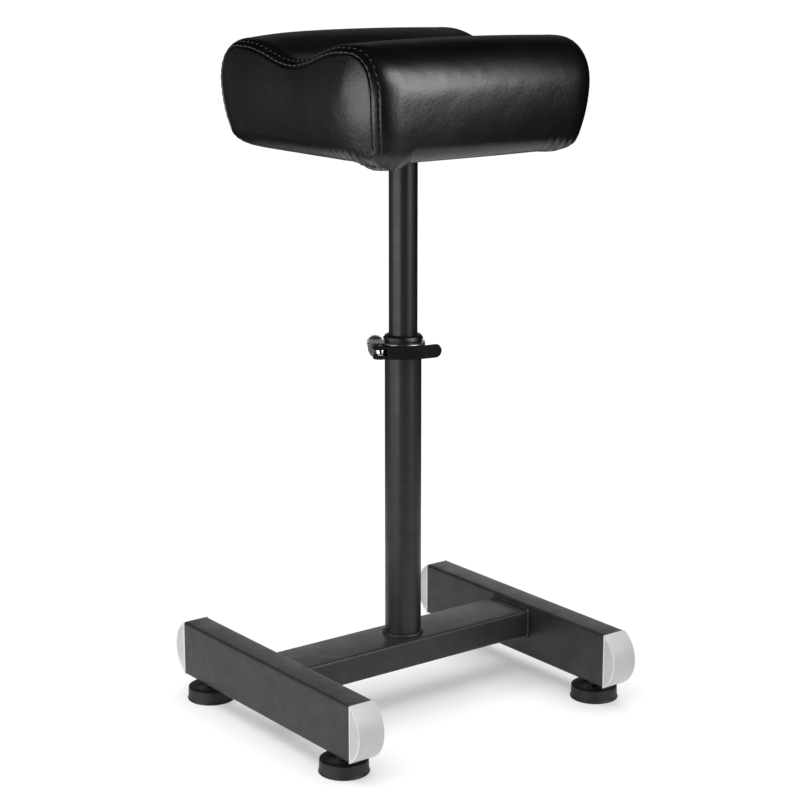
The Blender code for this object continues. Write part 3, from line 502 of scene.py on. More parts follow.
def plywood(base):
    """Birch plywood: thin plies on edge, each a little lighter or darker."""
    material, where = new_material("birch plywood", IOR=1.5)
    # Each ply is about 1.4 mm thick, so that a dark and a light one take 2.8 mm
    layers = {**where, "Scale": per_mm(2.8) * WAVE_BAND, "Distortion": 0.4, "Detail": 1.0}
    ply = add_node(material, WAVES, layers, bands_direction="Z")
    lay_finish(material, (ply, MIDDLE, shades(base, 0.2)), (ply, WHOLE, (0.6, 0.75)))


def floor_paint(base):
    """Opal sheet of a light table: pale and even, lit a little from below, with the faintest cloud in it."""
    glow = {"Emission_Color": (1, 1, 1, 1), "Emission_Strength": 0.36}
    material, where = new_material("pale studio floor", IOR=1.45, **glow)
    cloud = add_node(material, NOISE, {**where, "Scale": per_mm(900), "Detail": 1.0})
    lay_finish(material, (cloud, MIDDLE, shades(base, 0.01)), (cloud, WHOLE, (0.9, 1.0)))


class FOOTREST_OT_finishes(bpy.types.Operator):
    """Make the finishes, and give them to the solids that stay in view"""

    bl_idname = "footrest.finishes"
    bl_label = "Finishes"

    def execute(self, context):
        colours = context.scene.footrest_colours
        powder_coat(colours.coat)
        # Roughness, width of the grain in millimetres, and IOR
        moulded_plastic("light grey moulded plastic", colours.cap, 0.48, 1.2, 1.33)
        # The bead's plastic is glossier, and is painted lighter than the caps' as a painted highlight along
        # the bead
        moulded_plastic("polished edge of light grey plastic", colours.cap_bead_highlight, 0.3, 1.2, 1.45)
        moulded_plastic("black moulded plastic", colours.plastic, 0.4, 0.9, 1.5)
        moulded_plastic("black grained nylon", colours.nylon, 0.68, 1.1, 1.22)
        black_rubber(colours.rubber)
        bright_metal(colours.bright)
        zinc_plate(colours.zinc)
        leather(colours.leather)
        sewing_thread(colours.thread)
        dust_cloth(colours.cloth)
        plywood(colours.plywood)
        floor_paint(colours.floor)
        kept = {
            "lower_guide": "black moulded plastic",
            "dust_cover": "black felted cloth",
            **{f"weld_nut_{name}": "zinc plated steel" for name, _, _ in CORNERS},
            **{f"tee_nut_{name}": "zinc plated steel" for name, _, _ in CORNERS},
        }
        for node, material in kept.items():
            solid = frame["nodes"][node]
            solid.data.materials.clear()
            solid.data.materials.append(finish_of(material))
        return {"FINISHED"}


def rectangular_tube(name, low, high, along):
    """A box with its long edges rounded, hollowed from end to end."""
    piece = block(name, low, high)
    bevel_along(piece, along, sizes().tube_corner, segments=8)
    edit(piece, "FACE")
    pick(piece, "faces", lambda face: abs(face.normal[along]) > MOSTLY)
    bpy.ops.mesh.inset(thickness=sizes().tube_wall)
    bpy.ops.mesh.bridge_edge_loops()
    leave()
    return piece


class FOOTREST_OT_base(bpy.types.Operator):
    """Make the foot bars and the cross tube"""

    bl_idname = "footrest.base"
    bl_label = "Base tubes"

    def execute(self, context):
        bar = rectangular_tube("right_bar_tube", BAR_LOW, BAR_HIGH, 1)
        below, above = BAR_LOW.z - sizes().tube_wall, BAR_LOW.z + 2 * sizes().tube_wall
        for name in ("front_right", "back_right"):
            low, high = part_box(f"foot_stud_{name}")
            spot = ((low + high) / 2).xy
            bore(bar, STUD_RADIUS + FIT, (*spot, below), (*spot, above))
        other = copy_of(bar, "left_bar_tube", Matrix.Scale(-1, 4, (1, 0, 0)))
        cross = rectangular_tube("cross_bar_tube", CROSS_LOW, CROSS_HIGH, 0)
        for piece, node in ((bar, "right_foot_bar"), (other, "left_foot_bar"), (cross, "cross_tube")):
            dress(piece, "charcoal powder coat", "base", [node])
        return {"FINISHED"}


# Thickness of a weld bead as a share of its section: the least, the rise at each ripple, and two slow waves
# with their height, their turn from ripple to ripple and their start
BEAD_LEAST, BEAD_RIPPLE = 0.95, 0.13
BEAD_WAVES = ((0.05, 0.61, 0), (0.04, 1.37, 1))
# Distance of a bead's middle from both faces of its corner, as a share of the bead's radius
BEAD_SINK = 0.35
# Edges of a bead's path that are longer than each of these are halved in turn
EDGE_LIMITS = (16 * MM, 8 * MM, 4 * MM, 2 * MM, MM)


def weld_bead(piece):
    """Turns a loop of edges into a rippled bead along it."""
    only(piece)
    bpy.ops.object.convert(target="CURVE")
    path = bpy.context.object.data
    path.bevel_depth = sizes().weld_bead
    path.bevel_resolution = 4
    points = path.splines[0].points
    travel = 0.0
    for place, point in enumerate(points):
        travel += (point.co - points[place - 1].co).length if place else 0.0
        ripple = travel / sizes().weld_pitch
        wander = sum(height * math.sin(ripple * turn + first) for height, turn, first in BEAD_WAVES)
        point.radius = BEAD_LEAST + BEAD_RIPPLE * (1 - abs(2 * (ripple % 1) - 1)) + wander
    bpy.ops.object.convert(target="MESH")
    tidy(bpy.context.object)
    return bpy.context.object


def ring_weld(name, radius, height, node, body):
    """A bead round a pipe where it stands on a plate, with four points to each ripple."""
    steps = 4 * round(2 * math.pi * radius / sizes().weld_pitch)
    bpy.ops.mesh.primitive_circle_add(vertices=steps, radius=radius, location=(0, 0, height))
    dress(weld_bead(start(name)), "charcoal powder coat", body, [node], angle=60)


class FOOTREST_OT_welds(bpy.types.Operator):
    """Make the weld beads of the base, the column and the mounting plate"""

    bl_idname = "footrest.welds"
    bl_label = "Weld beads"

    def execute(self, context):
        sink = BEAD_SINK * sizes().weld_bead
        ring_weld("column_foot_bead", COLUMN_HIGH.x + sink, CROSS_HIGH.z + sink, "column_weld", "base")
        ring_weld("plate_bead", POST_HIGH.x + sink, PLATE_LOW.z - sink, "plate_weld", "cushion_top")
        half = (CROSS_HIGH - CROSS_LOW) / 2
        centre = (CROSS_HIGH + CROSS_LOW) / 2
        outline = (2 * (half.z + sink), 2 * (half.y + sink))
        for name, side in (("left", -1), ("right", 1)):
            place = (side * (half.x - sink), centre.y, centre.z)
            piece = sheet(f"{name}_cross_bead", place, (0, math.pi / 2, 0), outline)
            edit(piece, "VERT")
            bpy.ops.mesh.select_all(action="SELECT")
            bpy.ops.mesh.delete(type="ONLY_FACE")
            bpy.ops.mesh.select_all(action="SELECT")
            bpy.ops.mesh.bevel(offset=sizes().tube_corner, segments=6, affect="VERTICES")
            for limit in EDGE_LIMITS:
                pick(piece, "edges", lambda edge: edge.calc_length() > limit)
                bpy.ops.mesh.subdivide(number_cuts=1)
            leave()
            node = f"{name}_cross_weld"
            dress(weld_bead(piece), "charcoal powder coat", "base", [node], angle=60)
        return {"FINISHED"}


def dome(name, radius, axis, x_low, x_high, face):
    """A cylinder along X, cut off flat at a face across Y."""
    piece = rod(name, radius, (x_low, *axis), (x_high, *axis), 2 * ROUND)
    edit(piece, "FACE")
    bpy.ops.mesh.select_all(action="SELECT")
    bpy.ops.mesh.bisect(plane_co=(0, face, 0), plane_no=(0, 1, 0), use_fill=True, clear_inner=True)
    leave()
    tidy(piece)
    return piece


# Rounding of an end cap's edges, and how far below its sides a face still belongs to the bead
CAP_EDGE, CAP_BEAD_DEPTH = 0.45 * MM, 0.5 * MM


class FOOTREST_OT_end_caps(bpy.types.Operator):
    """Make the moulded end caps of the foot bars"""

    bl_idname = "footrest.end_caps"
    bl_label = "End caps"

    def execute(self, context):
        face = BAR_HIGH.y + FIT
        half_height = (CAP_HIGH.z - CAP_LOW.z) / 2
        bulge = CAP_HIGH.y - face
        radius = (half_height**2 + bulge**2) / (2 * bulge)
        axis = (CAP_HIGH.y - radius, (CAP_HIGH.z + CAP_LOW.z) / 2)
        bead, sink = sizes().cap_bead, sizes().cap_sink
        cap = dome("end_piece_back_right", radius, axis, CAP_LOW.x, CAP_HIGH.x, face)
        for side in (CAP_LOW.x, CAP_HIGH.x):
            field = dome("field", radius - bead, axis, side - sink, side + sink, face + bead)
            combine(cap, field, "DIFFERENCE")
        soften(cap, CAP_EDGE, limit=40)
        plug = sizes().tube_wall + FIT
        stem = block(
            "stem",
            (CAP_LOW.x + plug, CAP_LOW.y, CAP_LOW.z + plug),
            (CAP_HIGH.x - plug, face + MM, CAP_HIGH.z - plug),
        )
        combine(cap, stem, "UNION")
        for name, side, end in CORNERS:
            place = Matrix.Diagonal((side, end, 1, 1))
            piece = cap if (side, end) == (1, 1) else copy_of(cap, f"end_piece_{name}", place)
            dress(piece, "light grey moulded plastic", "base", [f"end_cap_{name}"], angle=40)
            # The bead round both sides is glossier, and its colour is painted lighter than the caps' as a
            # painted highlight
            piece.data.materials.append(finish_of("polished edge of light grey plastic"))
            for polygon in piece.data.polygons:
                reach = abs(polygon.center.x)
                depth = min(reach - CAP_LOW.x, CAP_HIGH.x - reach)
                polygon.material_index = int(depth < CAP_BEAD_DEPTH)
        return {"FINISHED"}


# Depth of a thread, and reach of its flank and half of its crest along the rod, as shares of its pitch
THREAD_DEPTH, THREAD_FLANK, THREAD_CREST = 0.55, 0.4, 0.06


def threaded(radius, low, high, pitch):
    """Profile of a threaded rod with chamfered ends."""
    root = radius - THREAD_DEPTH * pitch
    profile = [(0, low), (root, low)]
    height = low + pitch
    while height < high - pitch:
        profile += [(root, height - THREAD_FLANK * pitch), (radius, height - THREAD_CREST * pitch)]
        profile += [(radius, height + THREAD_CREST * pitch)]
        height += pitch
    return profile + [(root, high), (0, high)]


# Outline of a rubber pad in millimetres: in from its flare and up from the floor, then in and down from
# its top
PAD_SIDE = ((0.7, 0), (0.2, 0.25), (0, 0.8), (0.1, 1.4), (0.72, 1.9), (0.9, 2.6))
PAD_SHOULDER = ((1.17, 1.1), (1.26, 0.5), (1.62, 0.12), (2.07, 0))
# Hollow of the sole and dish round the stud: depth, and both radii of its rim as shares of the flare
SOLE_DEPTH, SOLE_ENDS = 1.2 * MM, (0.72, 0.75)
DISH_DEPTH, DISH_ENDS = 0.5 * MM, (0.5, 0.46)
STUD_SEAT = 4 * MM
NUT_EDGE = 0.6 * MM


class FOOTREST_OT_feet(bpy.types.Operator):
    """Make the levelling feet: rubber pads, threaded studs and jam nuts"""

    bl_idname = "footrest.feet"
    bl_label = "Levelling feet"

    def execute(self, context):
        foot = (PAD_HIGH + PAD_LOW) / 2
        flare = (PAD_HIGH.x - PAD_LOW.x) / 2
        top = PAD_HIGH.z
        hole = STUD_RADIUS + FIT
        profile = [
            (0, SOLE_DEPTH),
            (SOLE_ENDS[0] * flare, SOLE_DEPTH),
            (SOLE_ENDS[1] * flare, 0),
            *((flare - inward * MM, up * MM) for inward, up in PAD_SIDE),
            *((flare - inward * MM, top - down * MM) for inward, down in PAD_SHOULDER),
            (DISH_ENDS[0] * flare, top),
            (DISH_ENDS[1] * flare, top - DISH_DEPTH),
            (hole, top - DISH_DEPTH),
            (hole, STUD_SEAT),
            (0, STUD_SEAT),
        ]
        pad = turned("rubber_pad", profile)
        thread = threaded(STUD_RADIUS, STUD_LOW.z, STUD_HIGH.z, sizes().thread_pitch)
        stud = turned("stud_rod", thread, SMALL_ROUND // 2)
        flats = min(NUT_HIGH.x - NUT_LOW.x, NUT_HIGH.y - NUT_LOW.y)
        nut = rod("nut", flats / math.sqrt(3), (0, 0, NUT_LOW.z), (0, 0, NUT_HIGH.z), sides=6)
        bore(nut, hole, (0, 0, 0), (0, 0, 2 * NUT_HIGH.z))
        soften(nut, NUT_EDGE, segments=2)
        for name, side, end in CORNERS:
            place = Matrix.Translation((side * foot.x, end * foot.y, 0))
            body = f"foot_{name}"
            piece = copy_of(pad, f"rubber_pad_{name}", place)
            dress(piece, "black moulded rubber", body, [f"foot_pad_{name}"], angle=50)
            piece = copy_of(stud, f"stud_rod_{name}", place)
            dress(piece, "zinc plated steel", body, [f"foot_stud_{name}"], angle=25)
            piece = copy_of(nut, f"lock_nut_{name}", place)
            dress(piece, "zinc plated steel", "base", [f"jam_nut_{name}"])
        for model in (pad, stud, nut):
            bpy.data.objects.remove(model, do_unlink=True)
        return {"FINISHED"}


# Frame of the quick-release collar: its ears stand out along X and its skewer runs along Y
COLLAR = Matrix.Translation((0, 0, PIVOTS["tension_nut_turn"].z)) @ Matrix.Rotation(
    math.atan2(PIVOTS["tension_nut_turn"].y, PIVOTS["tension_nut_turn"].x), 4, "Z"
)
PIPE_EDGE = 0.4 * MM
# Half the width, and the depth, of the slit that lets the collar squeeze the column
SLIT_HALF, SLIT_DEPTH = 1.25 * MM, 17 * MM
# Bush: height of its flange's side, edges taken off it above and below, and shoulder and mouth of its crown
BUSH_SIDE, BUSH_EDGE, BUSH_CHAMFER = 1.7 * MM, 0.5 * MM, 0.4 * MM
BUSH_SHOULDER, BUSH_MOUTH, BUSH_MOUTH_DEPTH = 0.9 * MM, 0.8 * MM, 0.6 * MM


class FOOTREST_OT_column(bpy.types.Operator):
    """Make the column, the flanged bush in its top and the sliding post"""

    bl_idname = "footrest.column"
    bl_label = "Column and post"

    def execute(self, context):
        radius, wall = COLUMN_HIGH.x, sizes().tube_wall
        low, high = COLUMN_LOW.z, COLUMN_HIGH.z
        profile = [
            (radius, low),
            (radius, high - PIPE_EDGE),
            (radius - PIPE_EDGE, high),
            (radius - wall, high),
            (radius - wall, low),
            (radius, low),
        ]
        column = turned("column_tube", profile)
        slit = block("slit", (0, -SLIT_HALF, -SLIT_DEPTH), (2 * radius, SLIT_HALF, SLIT_DEPTH))
        slit.data.transform(COLLAR @ Matrix.Translation((0, 0, high - COLLAR.translation.z)))
        combine(column, slit, "DIFFERENCE")
        dress(column, "charcoal powder coat", "base", ["outer_column"])

        inside, sleeve = POST_HIGH.x + FIT, radius - wall - FIT
        seat, crest, flange = high + FIT, BUSH_HIGH.z, BUSH_HIGH.x
        shoulder, side = flange - BUSH_SHOULDER, seat + BUSH_SIDE
        reach = shoulder - inside - BUSH_MOUTH
        crown = [
            (shoulder - reach * (1 - math.cos(turn)), side + (crest - side) * math.sin(turn))
            for turn in QUARTER
        ]
        profile = [
            (sleeve, BUSH_LOW.z),
            (sleeve, seat),
            (flange - BUSH_EDGE, seat),
            (flange, seat + BUSH_CHAMFER),
            (flange, side - BUSH_EDGE),
            (flange - BUSH_CHAMFER, side),
            *crown,
            (inside, crest - BUSH_MOUTH_DEPTH),
            (inside, BUSH_LOW.z),
            (sleeve, BUSH_LOW.z),
        ]
        bush = turned("flanged_bush", profile)
        dress(bush, "black moulded plastic", "base", ["guide_bush"], angle=40)

        radius, low, high = POST_HIGH.x, POST_LOW.z, POST_HIGH.z
        profile = [
            (radius - PIPE_EDGE, low),
            (radius, low + PIPE_EDGE),
            (radius, high),
            (radius - wall, high),
            (radius - wall, low),
            (radius - PIPE_EDGE, low),
        ]
        post = turned("sliding_post", profile)
        dress(post, "charcoal powder coat", "cushion_top", ["inner_post"])
        return {"FINISHED"}


# Distances of the skewer from the column's axis and of the cam's pin from the middle of the ears
SKEWER_REACH = PIVOTS["tension_nut_turn"].xy.length
PIN_REACH = (PIVOTS["lever_swing"] - PIVOTS["tension_nut_turn"]).length
SKEWER_RADIUS, SKEWER_END, SKEWER_PITCH = 2.5 * MM, 30 * MM, 0.9 * MM
SKEWER_HOLE = SKEWER_RADIUS + FIT
EYE_RADIUS, EYE_HALF, EYE_EDGE = 5 * MM, 3 * MM, 0.3 * MM
BAND_REACH = 3.7 * MM
# The band is drawn this much shorter than its solid below and above, so that the column shows over it
BAND_RISE, BAND_DROP = 1.4 * MM, 2.2 * MM
EAR_GAP, EAR_FACE, EAR_REACH, EAR_HALF, EAR_CORNER = 1.5 * MM, 9 * MM, 36 * MM, 7.3 * MM, 4 * MM
RING_EDGE = 0.6 * MM
# Radius of the lever's cam and its middle's distance from the pin
CAM_RADIUS, CAM_OFFSET = 7.5 * MM, MM
SEAT_HALF, SEAT_DEPTH, SEAT_EDGE = 5 * MM, 5 * MM, 0.5 * MM
PIN_HEAD, PIN_CHAMFER = 0.6 * MM, 0.8 * MM
WASHER_RADIUS, WASHER_THICKNESS, WASHER_EDGE = 5 * MM, 1.2 * MM, 0.25 * MM
HUB_RADIUS, HUB_LENGTH, HUB_CHAMFER = 5 * MM, 9 * MM, 0.4 * MM
WHEEL_RADIUS, WHEEL_WIDTH, WHEEL_CHAMFER = 9 * MM, 8 * MM, 0.8 * MM
WHEEL_SIDES, KNURLS, KNURL_DEPTH = 144, 16, 0.1


def collar_ring():
    """The split band with its two ears."""
    inside, outside = COLUMN_HIGH.x + FIT, COLUMN_HIGH.x + BAND_REACH
    half = (RING_HIGH.z - RING_LOW.z) / 2
    low, high = BAND_RISE - half, half - BAND_DROP
    band = [(inside, low), (outside, low), (outside, high), (inside, high), (inside, low)]
    ring = turned("split_ring", band)
    for side in (-1, 1):
        inner_corner = (inside + FIT, side * EAR_GAP, -EAR_HALF)
        ear = block("ear", inner_corner, (EAR_REACH, side * EAR_FACE, EAR_HALF))
        tidy(ear)
        edit(ear, "EDGE")
        pick(ear, "edges", lambda edge: runs_along(edge, 1) and edge.verts[0].co.x > outside)
        bpy.ops.mesh.bevel(offset=EAR_CORNER, segments=8)
        leave()
        combine(ring, ear, "UNION")
    slit = block("slit", (0, -EAR_GAP, -2 * half), (2 * EAR_REACH, EAR_GAP, 2 * half))
    combine(ring, slit, "DIFFERENCE")
    bore(ring, SKEWER_HOLE, (SKEWER_REACH, -SKEWER_END, 0), (SKEWER_REACH, SKEWER_END, 0))
    soften(ring, RING_EDGE)
    return ring


def hand_nut(first):
    """Tension nut: a hub and a wheel with straight knurls."""
    wheel, last = first + HUB_LENGTH, first + HUB_LENGTH + WHEEL_WIDTH
    profile = [
        (SKEWER_HOLE, first),
        (HUB_RADIUS - HUB_CHAMFER, first),
        (HUB_RADIUS, first + HUB_CHAMFER),
        (HUB_RADIUS, wheel),
        (WHEEL_RADIUS - WHEEL_CHAMFER, wheel),
        (WHEEL_RADIUS, wheel + WHEEL_CHAMFER),
        (WHEEL_RADIUS, last - WHEEL_CHAMFER),
        (WHEEL_RADIUS - WHEEL_CHAMFER, last),
        (SKEWER_HOLE, last),
        (SKEWER_HOLE, first),
    ]
    nut = turned("hand_nut", profile, WHEEL_SIDES)
    for vert in nut.data.vertices:
        if Vector(vert.co.xy).length > WHEEL_RADIUS - WHEEL_CHAMFER / 2:
            turn = math.atan2(vert.co.y, vert.co.x)
            vert.co.xy *= 1 - KNURL_DEPTH * (0.5 - 0.5 * math.cos(KNURLS * turn)) ** 2
    return nut


class FOOTREST_OT_collar(bpy.types.Operator):
    """Make the quick-release collar: ring, cam seat, skewer, pin, washer and tension nut"""

    bl_idname = "footrest.collar"
    bl_label = "Quick-release collar"

    def execute(self, context):
        reach, pin, face = SKEWER_REACH, PIN_REACH, EAR_FACE + FIT
        across = Matrix.Translation((reach, 0, 0)) @ Matrix.Rotation(math.pi / 2, 4, "X")

        ring = collar_ring()
        seat = block(
            "cam_rest",
            (reach - SEAT_HALF, face, -LEVER_HALF),
            (reach + SEAT_HALF, face + SEAT_DEPTH, LEVER_HALF),
        )
        cam = pin - CAM_OFFSET
        bore(seat, CAM_RADIUS + FIT, (reach, cam, -2 * LEVER_HALF), (reach, cam, 2 * LEVER_HALF))
        bore(seat, SKEWER_HOLE, (reach, 0, 0), (reach, SKEWER_END, 0))
        soften(seat, SEAT_EDGE, segments=2)

        # The thread runs a millimetre into the eye
        tail = threaded(SKEWER_RADIUS, EYE_RADIUS - MM - pin, SKEWER_END, SKEWER_PITCH)
        skewer = turned("skewer_rod", tail, SMALL_ROUND)
        skewer.data.transform(across)
        combine(skewer, rod("eye", EYE_RADIUS, (reach, pin, -EYE_HALF), (reach, pin, EYE_HALF)), "UNION")
        bore(skewer, SKEWER_HOLE, (reach, pin, -3 * EYE_HALF), (reach, pin, 3 * EYE_HALF))
        soften(skewer, EYE_EDGE, segments=2, limit=60)

        radius, half, head = SKEWER_RADIUS, LEVER_HALF, LEVER_HALF + PIN_HEAD
        rim = radius - PIN_CHAMFER
        profile = [(0, -head), (rim, -head), (radius, -half), (radius, half), (rim, head), (0, head)]
        pin_rod = turned("pivot_pin", profile, SMALL_ROUND)
        pin_rod.data.transform(Matrix.Translation((reach, pin, 0)))
        inner, outer, back = SKEWER_HOLE, WASHER_RADIUS, face + WASHER_THICKNESS
        profile = [(inner, face), (outer, face), (outer, back), (inner, back), (inner, face)]
        washer = turned("thrust_washer", profile, SMALL_ROUND)
        soften(washer, WASHER_EDGE, segments=2)
        washer.data.transform(across)
        nut = hand_nut(back + FIT)
        nut.data.transform(across)
        fitted = (
            (ring, "zinc plated steel", "base", "bright_metal", "clamp_ring"),
            (seat, "black moulded plastic", "base", "black_plastic", "cam_seat"),
            (skewer, "polished chrome", "base", "zinc_plate", "skewer"),
            (pin_rod, "polished chrome", "base", "zinc_plate", "cam_pin"),
            (washer, "zinc plated steel", "base", "zinc_plate", "nut_washer"),
            (nut, "zinc plated steel", "clamp_nut", "zinc_plate", "tension_nut"),
        )
        for piece, material, body, slot, node in fitted:
            piece.data.transform(COLLAR)
            dress(piece, material, body, [node])
        return {"FINISHED"}


# Paddle of the lever: length from the pin, rise in the middle, fall at the tip, thickness and rounding
PADDLE_SPAN, PADDLE_BOW, PADDLE_FALL = 64.5 * MM, 8.4 * MM, 4 * MM
PADDLE_THICKNESS, PADDLE_EDGE = 5 * MM, 1.1 * MM
# Steps along the paddle, and in a quarter turn round its tip, which ends after the last full one
PADDLE_STEPS, TIP_STEPS = 20, 8.4
# Slot for the skewer's eye: how far it runs into the paddle, and past the cam on the other sides
SLOT_START, SLOT_REACH = 7 * MM, 15 * MM


class FOOTREST_OT_lever(bpy.types.Operator):
    """Make the cam lever with its bowed paddle"""

    bl_idname = "footrest.lever"
    bl_label = "Cam lever"

    def execute(self, context):
        half = LEVER_HALF
        tip = 1 - half / PADDLE_SPAN
        shares = [tip * step / PADDLE_STEPS for step in range(PADDLE_STEPS + 1)]
        heights = [1.0] * len(shares)
        for step in range(1, math.ceil(TIP_STEPS)):
            turn = math.pi / 2 * step / TIP_STEPS
            shares.append(tip + (1 - tip) * math.sin(turn))
            heights.append(math.cos(turn))
        places = [
            (-PADDLE_SPAN * share, 4 * PADDLE_BOW * share * (1 - share) - PADDLE_FALL * share)
            for share in shares
        ]
        lever = sheet("cam_lever", (*places[0], 0), (0, -math.pi / 2, 0), (2 * half, PADDLE_THICKNESS))
        edit(lever, "FACE")
        bpy.ops.mesh.select_all(action="SELECT")
        for index in range(1, len(places)):
            step = (places[index][0] - places[index - 1][0], places[index][1] - places[index - 1][1], 0)
            bpy.ops.mesh.extrude_region_move(TRANSFORM_OT_translate={"value": step})
            shrink = heights[index] / heights[index - 1]
            if shrink < 1:
                bpy.ops.transform.resize(value=(1, 1, shrink), center_override=(*places[index], 0))
        leave()
        tidy(lever)
        cam = rod("cam", CAM_RADIUS, (0, -CAM_OFFSET, -half), (0, -CAM_OFFSET, half), ROUND)
        combine(lever, cam, "UNION")
        thick = EYE_HALF + FIT
        slot = block("slot", (-SLOT_START, -SLOT_REACH, -thick), (SLOT_REACH, SLOT_REACH, thick))
        combine(lever, slot, "DIFFERENCE")
        bore(lever, SKEWER_HOLE, (0, 0, -2 * half), (0, 0, 2 * half))
        soften(lever, PADDLE_EDGE, limit=50)
        lever.data.transform(COLLAR @ Matrix.Translation((SKEWER_REACH, PIN_REACH, 0)))
        dress(lever, "black grained nylon", "clamp_lever", ["lever"], angle=45)
        return {"FINISHED"}


PLATE_CORNER, PLATE_EDGE, BOARD_EDGE = 10 * MM, 0.6 * MM, 0.8 * MM
SCREW_SHANK, SOCKET_RADIUS, SOCKET_DEPTH = 3 * MM, 2.3 * MM, 2 * MM
# Flat of a screw's head and start of its round as shares of its radius, and the round's share of its height
HEAD_FLAT, HEAD_START, HEAD_ROUND = 0.45, 0.5, 0.8
# Barrel of a T-nut as a share of its flange's radius, and depth of the flange's seat in the board
TEE_BARREL, TEE_SEAT = 0.5, 1.8 * MM


class FOOTREST_OT_mounting(bpy.types.Operator):
    """Make the mounting plate under the cushion, its four screws and the board that they hold"""

    bl_idname = "footrest.mounting"
    bl_label = "Mounting plate"

    def execute(self, context):
        plate = block("top_plate", PLATE_LOW, PLATE_HIGH)
        bevel_along(plate, 2, PLATE_CORNER, segments=10)
        soften(plate, PLATE_EDGE)
        dress(plate, "charcoal powder coat", "cushion_top", ["mounting_plate"])

        centre = (SCREW_HIGH + SCREW_LOW) / 2
        low, seat = SCREW_LOW.z, PLATE_LOW.z - FIT
        head = (SCREW_HIGH.x - SCREW_LOW.x) / 2
        rise = HEAD_ROUND * (seat - low)
        profile = [(0, low), (HEAD_FLAT * head, low)]
        for turn in QUARTER:
            reach = head * (HEAD_START + (1 - HEAD_START) * math.sin(turn))
            profile.append((reach, low + rise * (1 - math.cos(turn))))
        profile += [(head, seat), (SCREW_SHANK, seat), (SCREW_SHANK, SCREW_HIGH.z), (0, SCREW_HIGH.z)]
        screw = turned("head_screw", profile, SMALL_ROUND)
        bore(screw, SOCKET_RADIUS, (0, 0, low - MM), (0, 0, low + SOCKET_DEPTH), sides=6)
        for name, side, end in CORNERS:
            place = Matrix.Translation((side * centre.x, end * centre.y, 0))
            piece = copy_of(screw, f"head_screw_{name}", place)
            dress(piece, "zinc plated steel", "cushion_top", [f"plate_screw_{name}"])
        bpy.data.objects.remove(screw, do_unlink=True)
        self.board()
        return {"FINISHED"}

    def board(self):
        """The base board with its T-nut holes, drawn clear of the leather's round lower edge."""
        reach = Vector((HALF_LENGTH - DRAW_IN - BOTTOM_EDGE, HALF_WIDTH - DRAW_IN - BOTTOM_EDGE))
        board = block("ply_board", (*(-reach), BOARD_LOW.z), (*reach, BOARD_HIGH.z))
        bevel_along(board, 2, PLAN_CORNER, segments=16)
        centre = (TEE_HIGH + TEE_LOW) / 2
        flange = (TEE_HIGH.x - TEE_LOW.x) / 2
        for _, side, end in CORNERS:
            spot = (side * centre.x, end * centre.y)
            above = (*spot, BOARD_HIGH.z + MM)
            bore(board, TEE_BARREL * flange, (*spot, BOARD_LOW.z - MM), above)
            bore(board, flange + FIT, (*spot, TEE_HIGH.z - TEE_SEAT), above)
        soften(board, BOARD_EDGE, segments=2)
        dress(board, "birch plywood", "cushion_top", ["base_board"])


# Form of the cushion, in its own frame with the underside at height zero
PLUMP = 3 * MM
HALF_LENGTH = COVER_HIGH.x + PLUMP
HALF_WIDTH = COVER_HIGH.y + PLUMP
CUSHION_HEIGHT = COVER_HIGH.z - COVER_LOW.z
PLAN_CORNER, CORNER_POWER = 36 * MM, 2.4
SIDE_BOW, END_BOW, END_REACH, END_POWER = 6 * MM, 3 * MM, 60 * MM, 2.2
RIDGE_OFFSET = 84 * MM
GROOVE_DEPTH = 17.5 * MM
CROWN = 3 * MM
SIDE_ROLL, SIDE_DROP = 52 * MM, 46 * MM
END_ROLL, END_DROP = 22 * MM, 18 * MM
ROLL_POWER = 2.2
DRAW_IN, DRAW_HEIGHT, DRAW_POWER = 12.5 * MM, 76 * MM, 2.2
BOTTOM_EDGE = 16 * MM
RETURN_WIDTH = 25 * MM
# Points of the round lower edge, and loops of the leather's flat return, which is drawn half as wide
EDGE_POINTS, RETURN_LOOPS = 9, 3
# Draw and rise of the leather's cut edge, which is folded up and in to the dust cloth
CUT_EDGE = ((0.4 * MM, 2.8 * MM), (6 * MM, 0))
# The far left corner of the top is worn lower than the others: how much, how far behind the ridge its
# middle lies, how wide it is, and the share of the height where it starts
WORN_DROP, WORN_BEYOND, WORN_REACH, WORN_FROM = 3 * MM, 10 * MM, 45 * MM, 0.4

# The seams lie this far in from the ends, and further in on the walls: how much, over which length beside
# the ends, and from how far past the ridge to how far short of the wall
SEAM_INSET = 3.5 * MM
WALL_INSET, INSET_LENGTH, INSET_PAST, INSET_SHORT = 3 * MM, 60 * MM, 6 * MM, 4 * MM
# Share of the side's roll that is left outside the top panel's lines
SHOULDER = 0.22

# Points of a half section over the top and down the wall, and sections along the cushion
TOP_POINTS, WALL_POINTS, SECTIONS = 240, 120, 601
PANEL_LINES, PLAIN_PITCH = 62, 5 * MM
# Lines beside a seam in millimetres from it, close together where the leather is folded and sewn
SEAM_LINES = (
    *(0, 0.4, 0.9, 1.5, 2.3, 3.2, 4.3, 5.5, 6.6, 7.6, 8.8, 10.5, 12.7, 15.3, 18.2, 21.5),
    *(25, 28.5, 32, 36, 40),
)
# Shares of the way across an end panel and up a wall
PANEL_ENDS = (0, 0.003, 0.0065, 0.0115, 0.019, 0.029, 0.04)
WALL_LINES = (
    *(0, 0.0125, 0.025, 0.04, 0.06, 0.085, 0.115, 0.15, 0.19, 0.24, 0.3, 0.36, 0.43, 0.5, 0.57, 0.64, 0.71),
    *(0.77, 0.83, 0.88, 0.92, 0.95, 0.97, 0.982, 0.992, 1),
)


def smooth_step(value, low, high):
    """Zero up to a low value and one from a high one, with a smooth rise between them."""
    share = np.clip((value - low) / (high - low), 0, 1)
    return share * share * (3 - 2 * share)


def bell(value, width):
    """One at zero, falling off on both sides within a width."""
    return np.exp(-((value / width) ** 2))


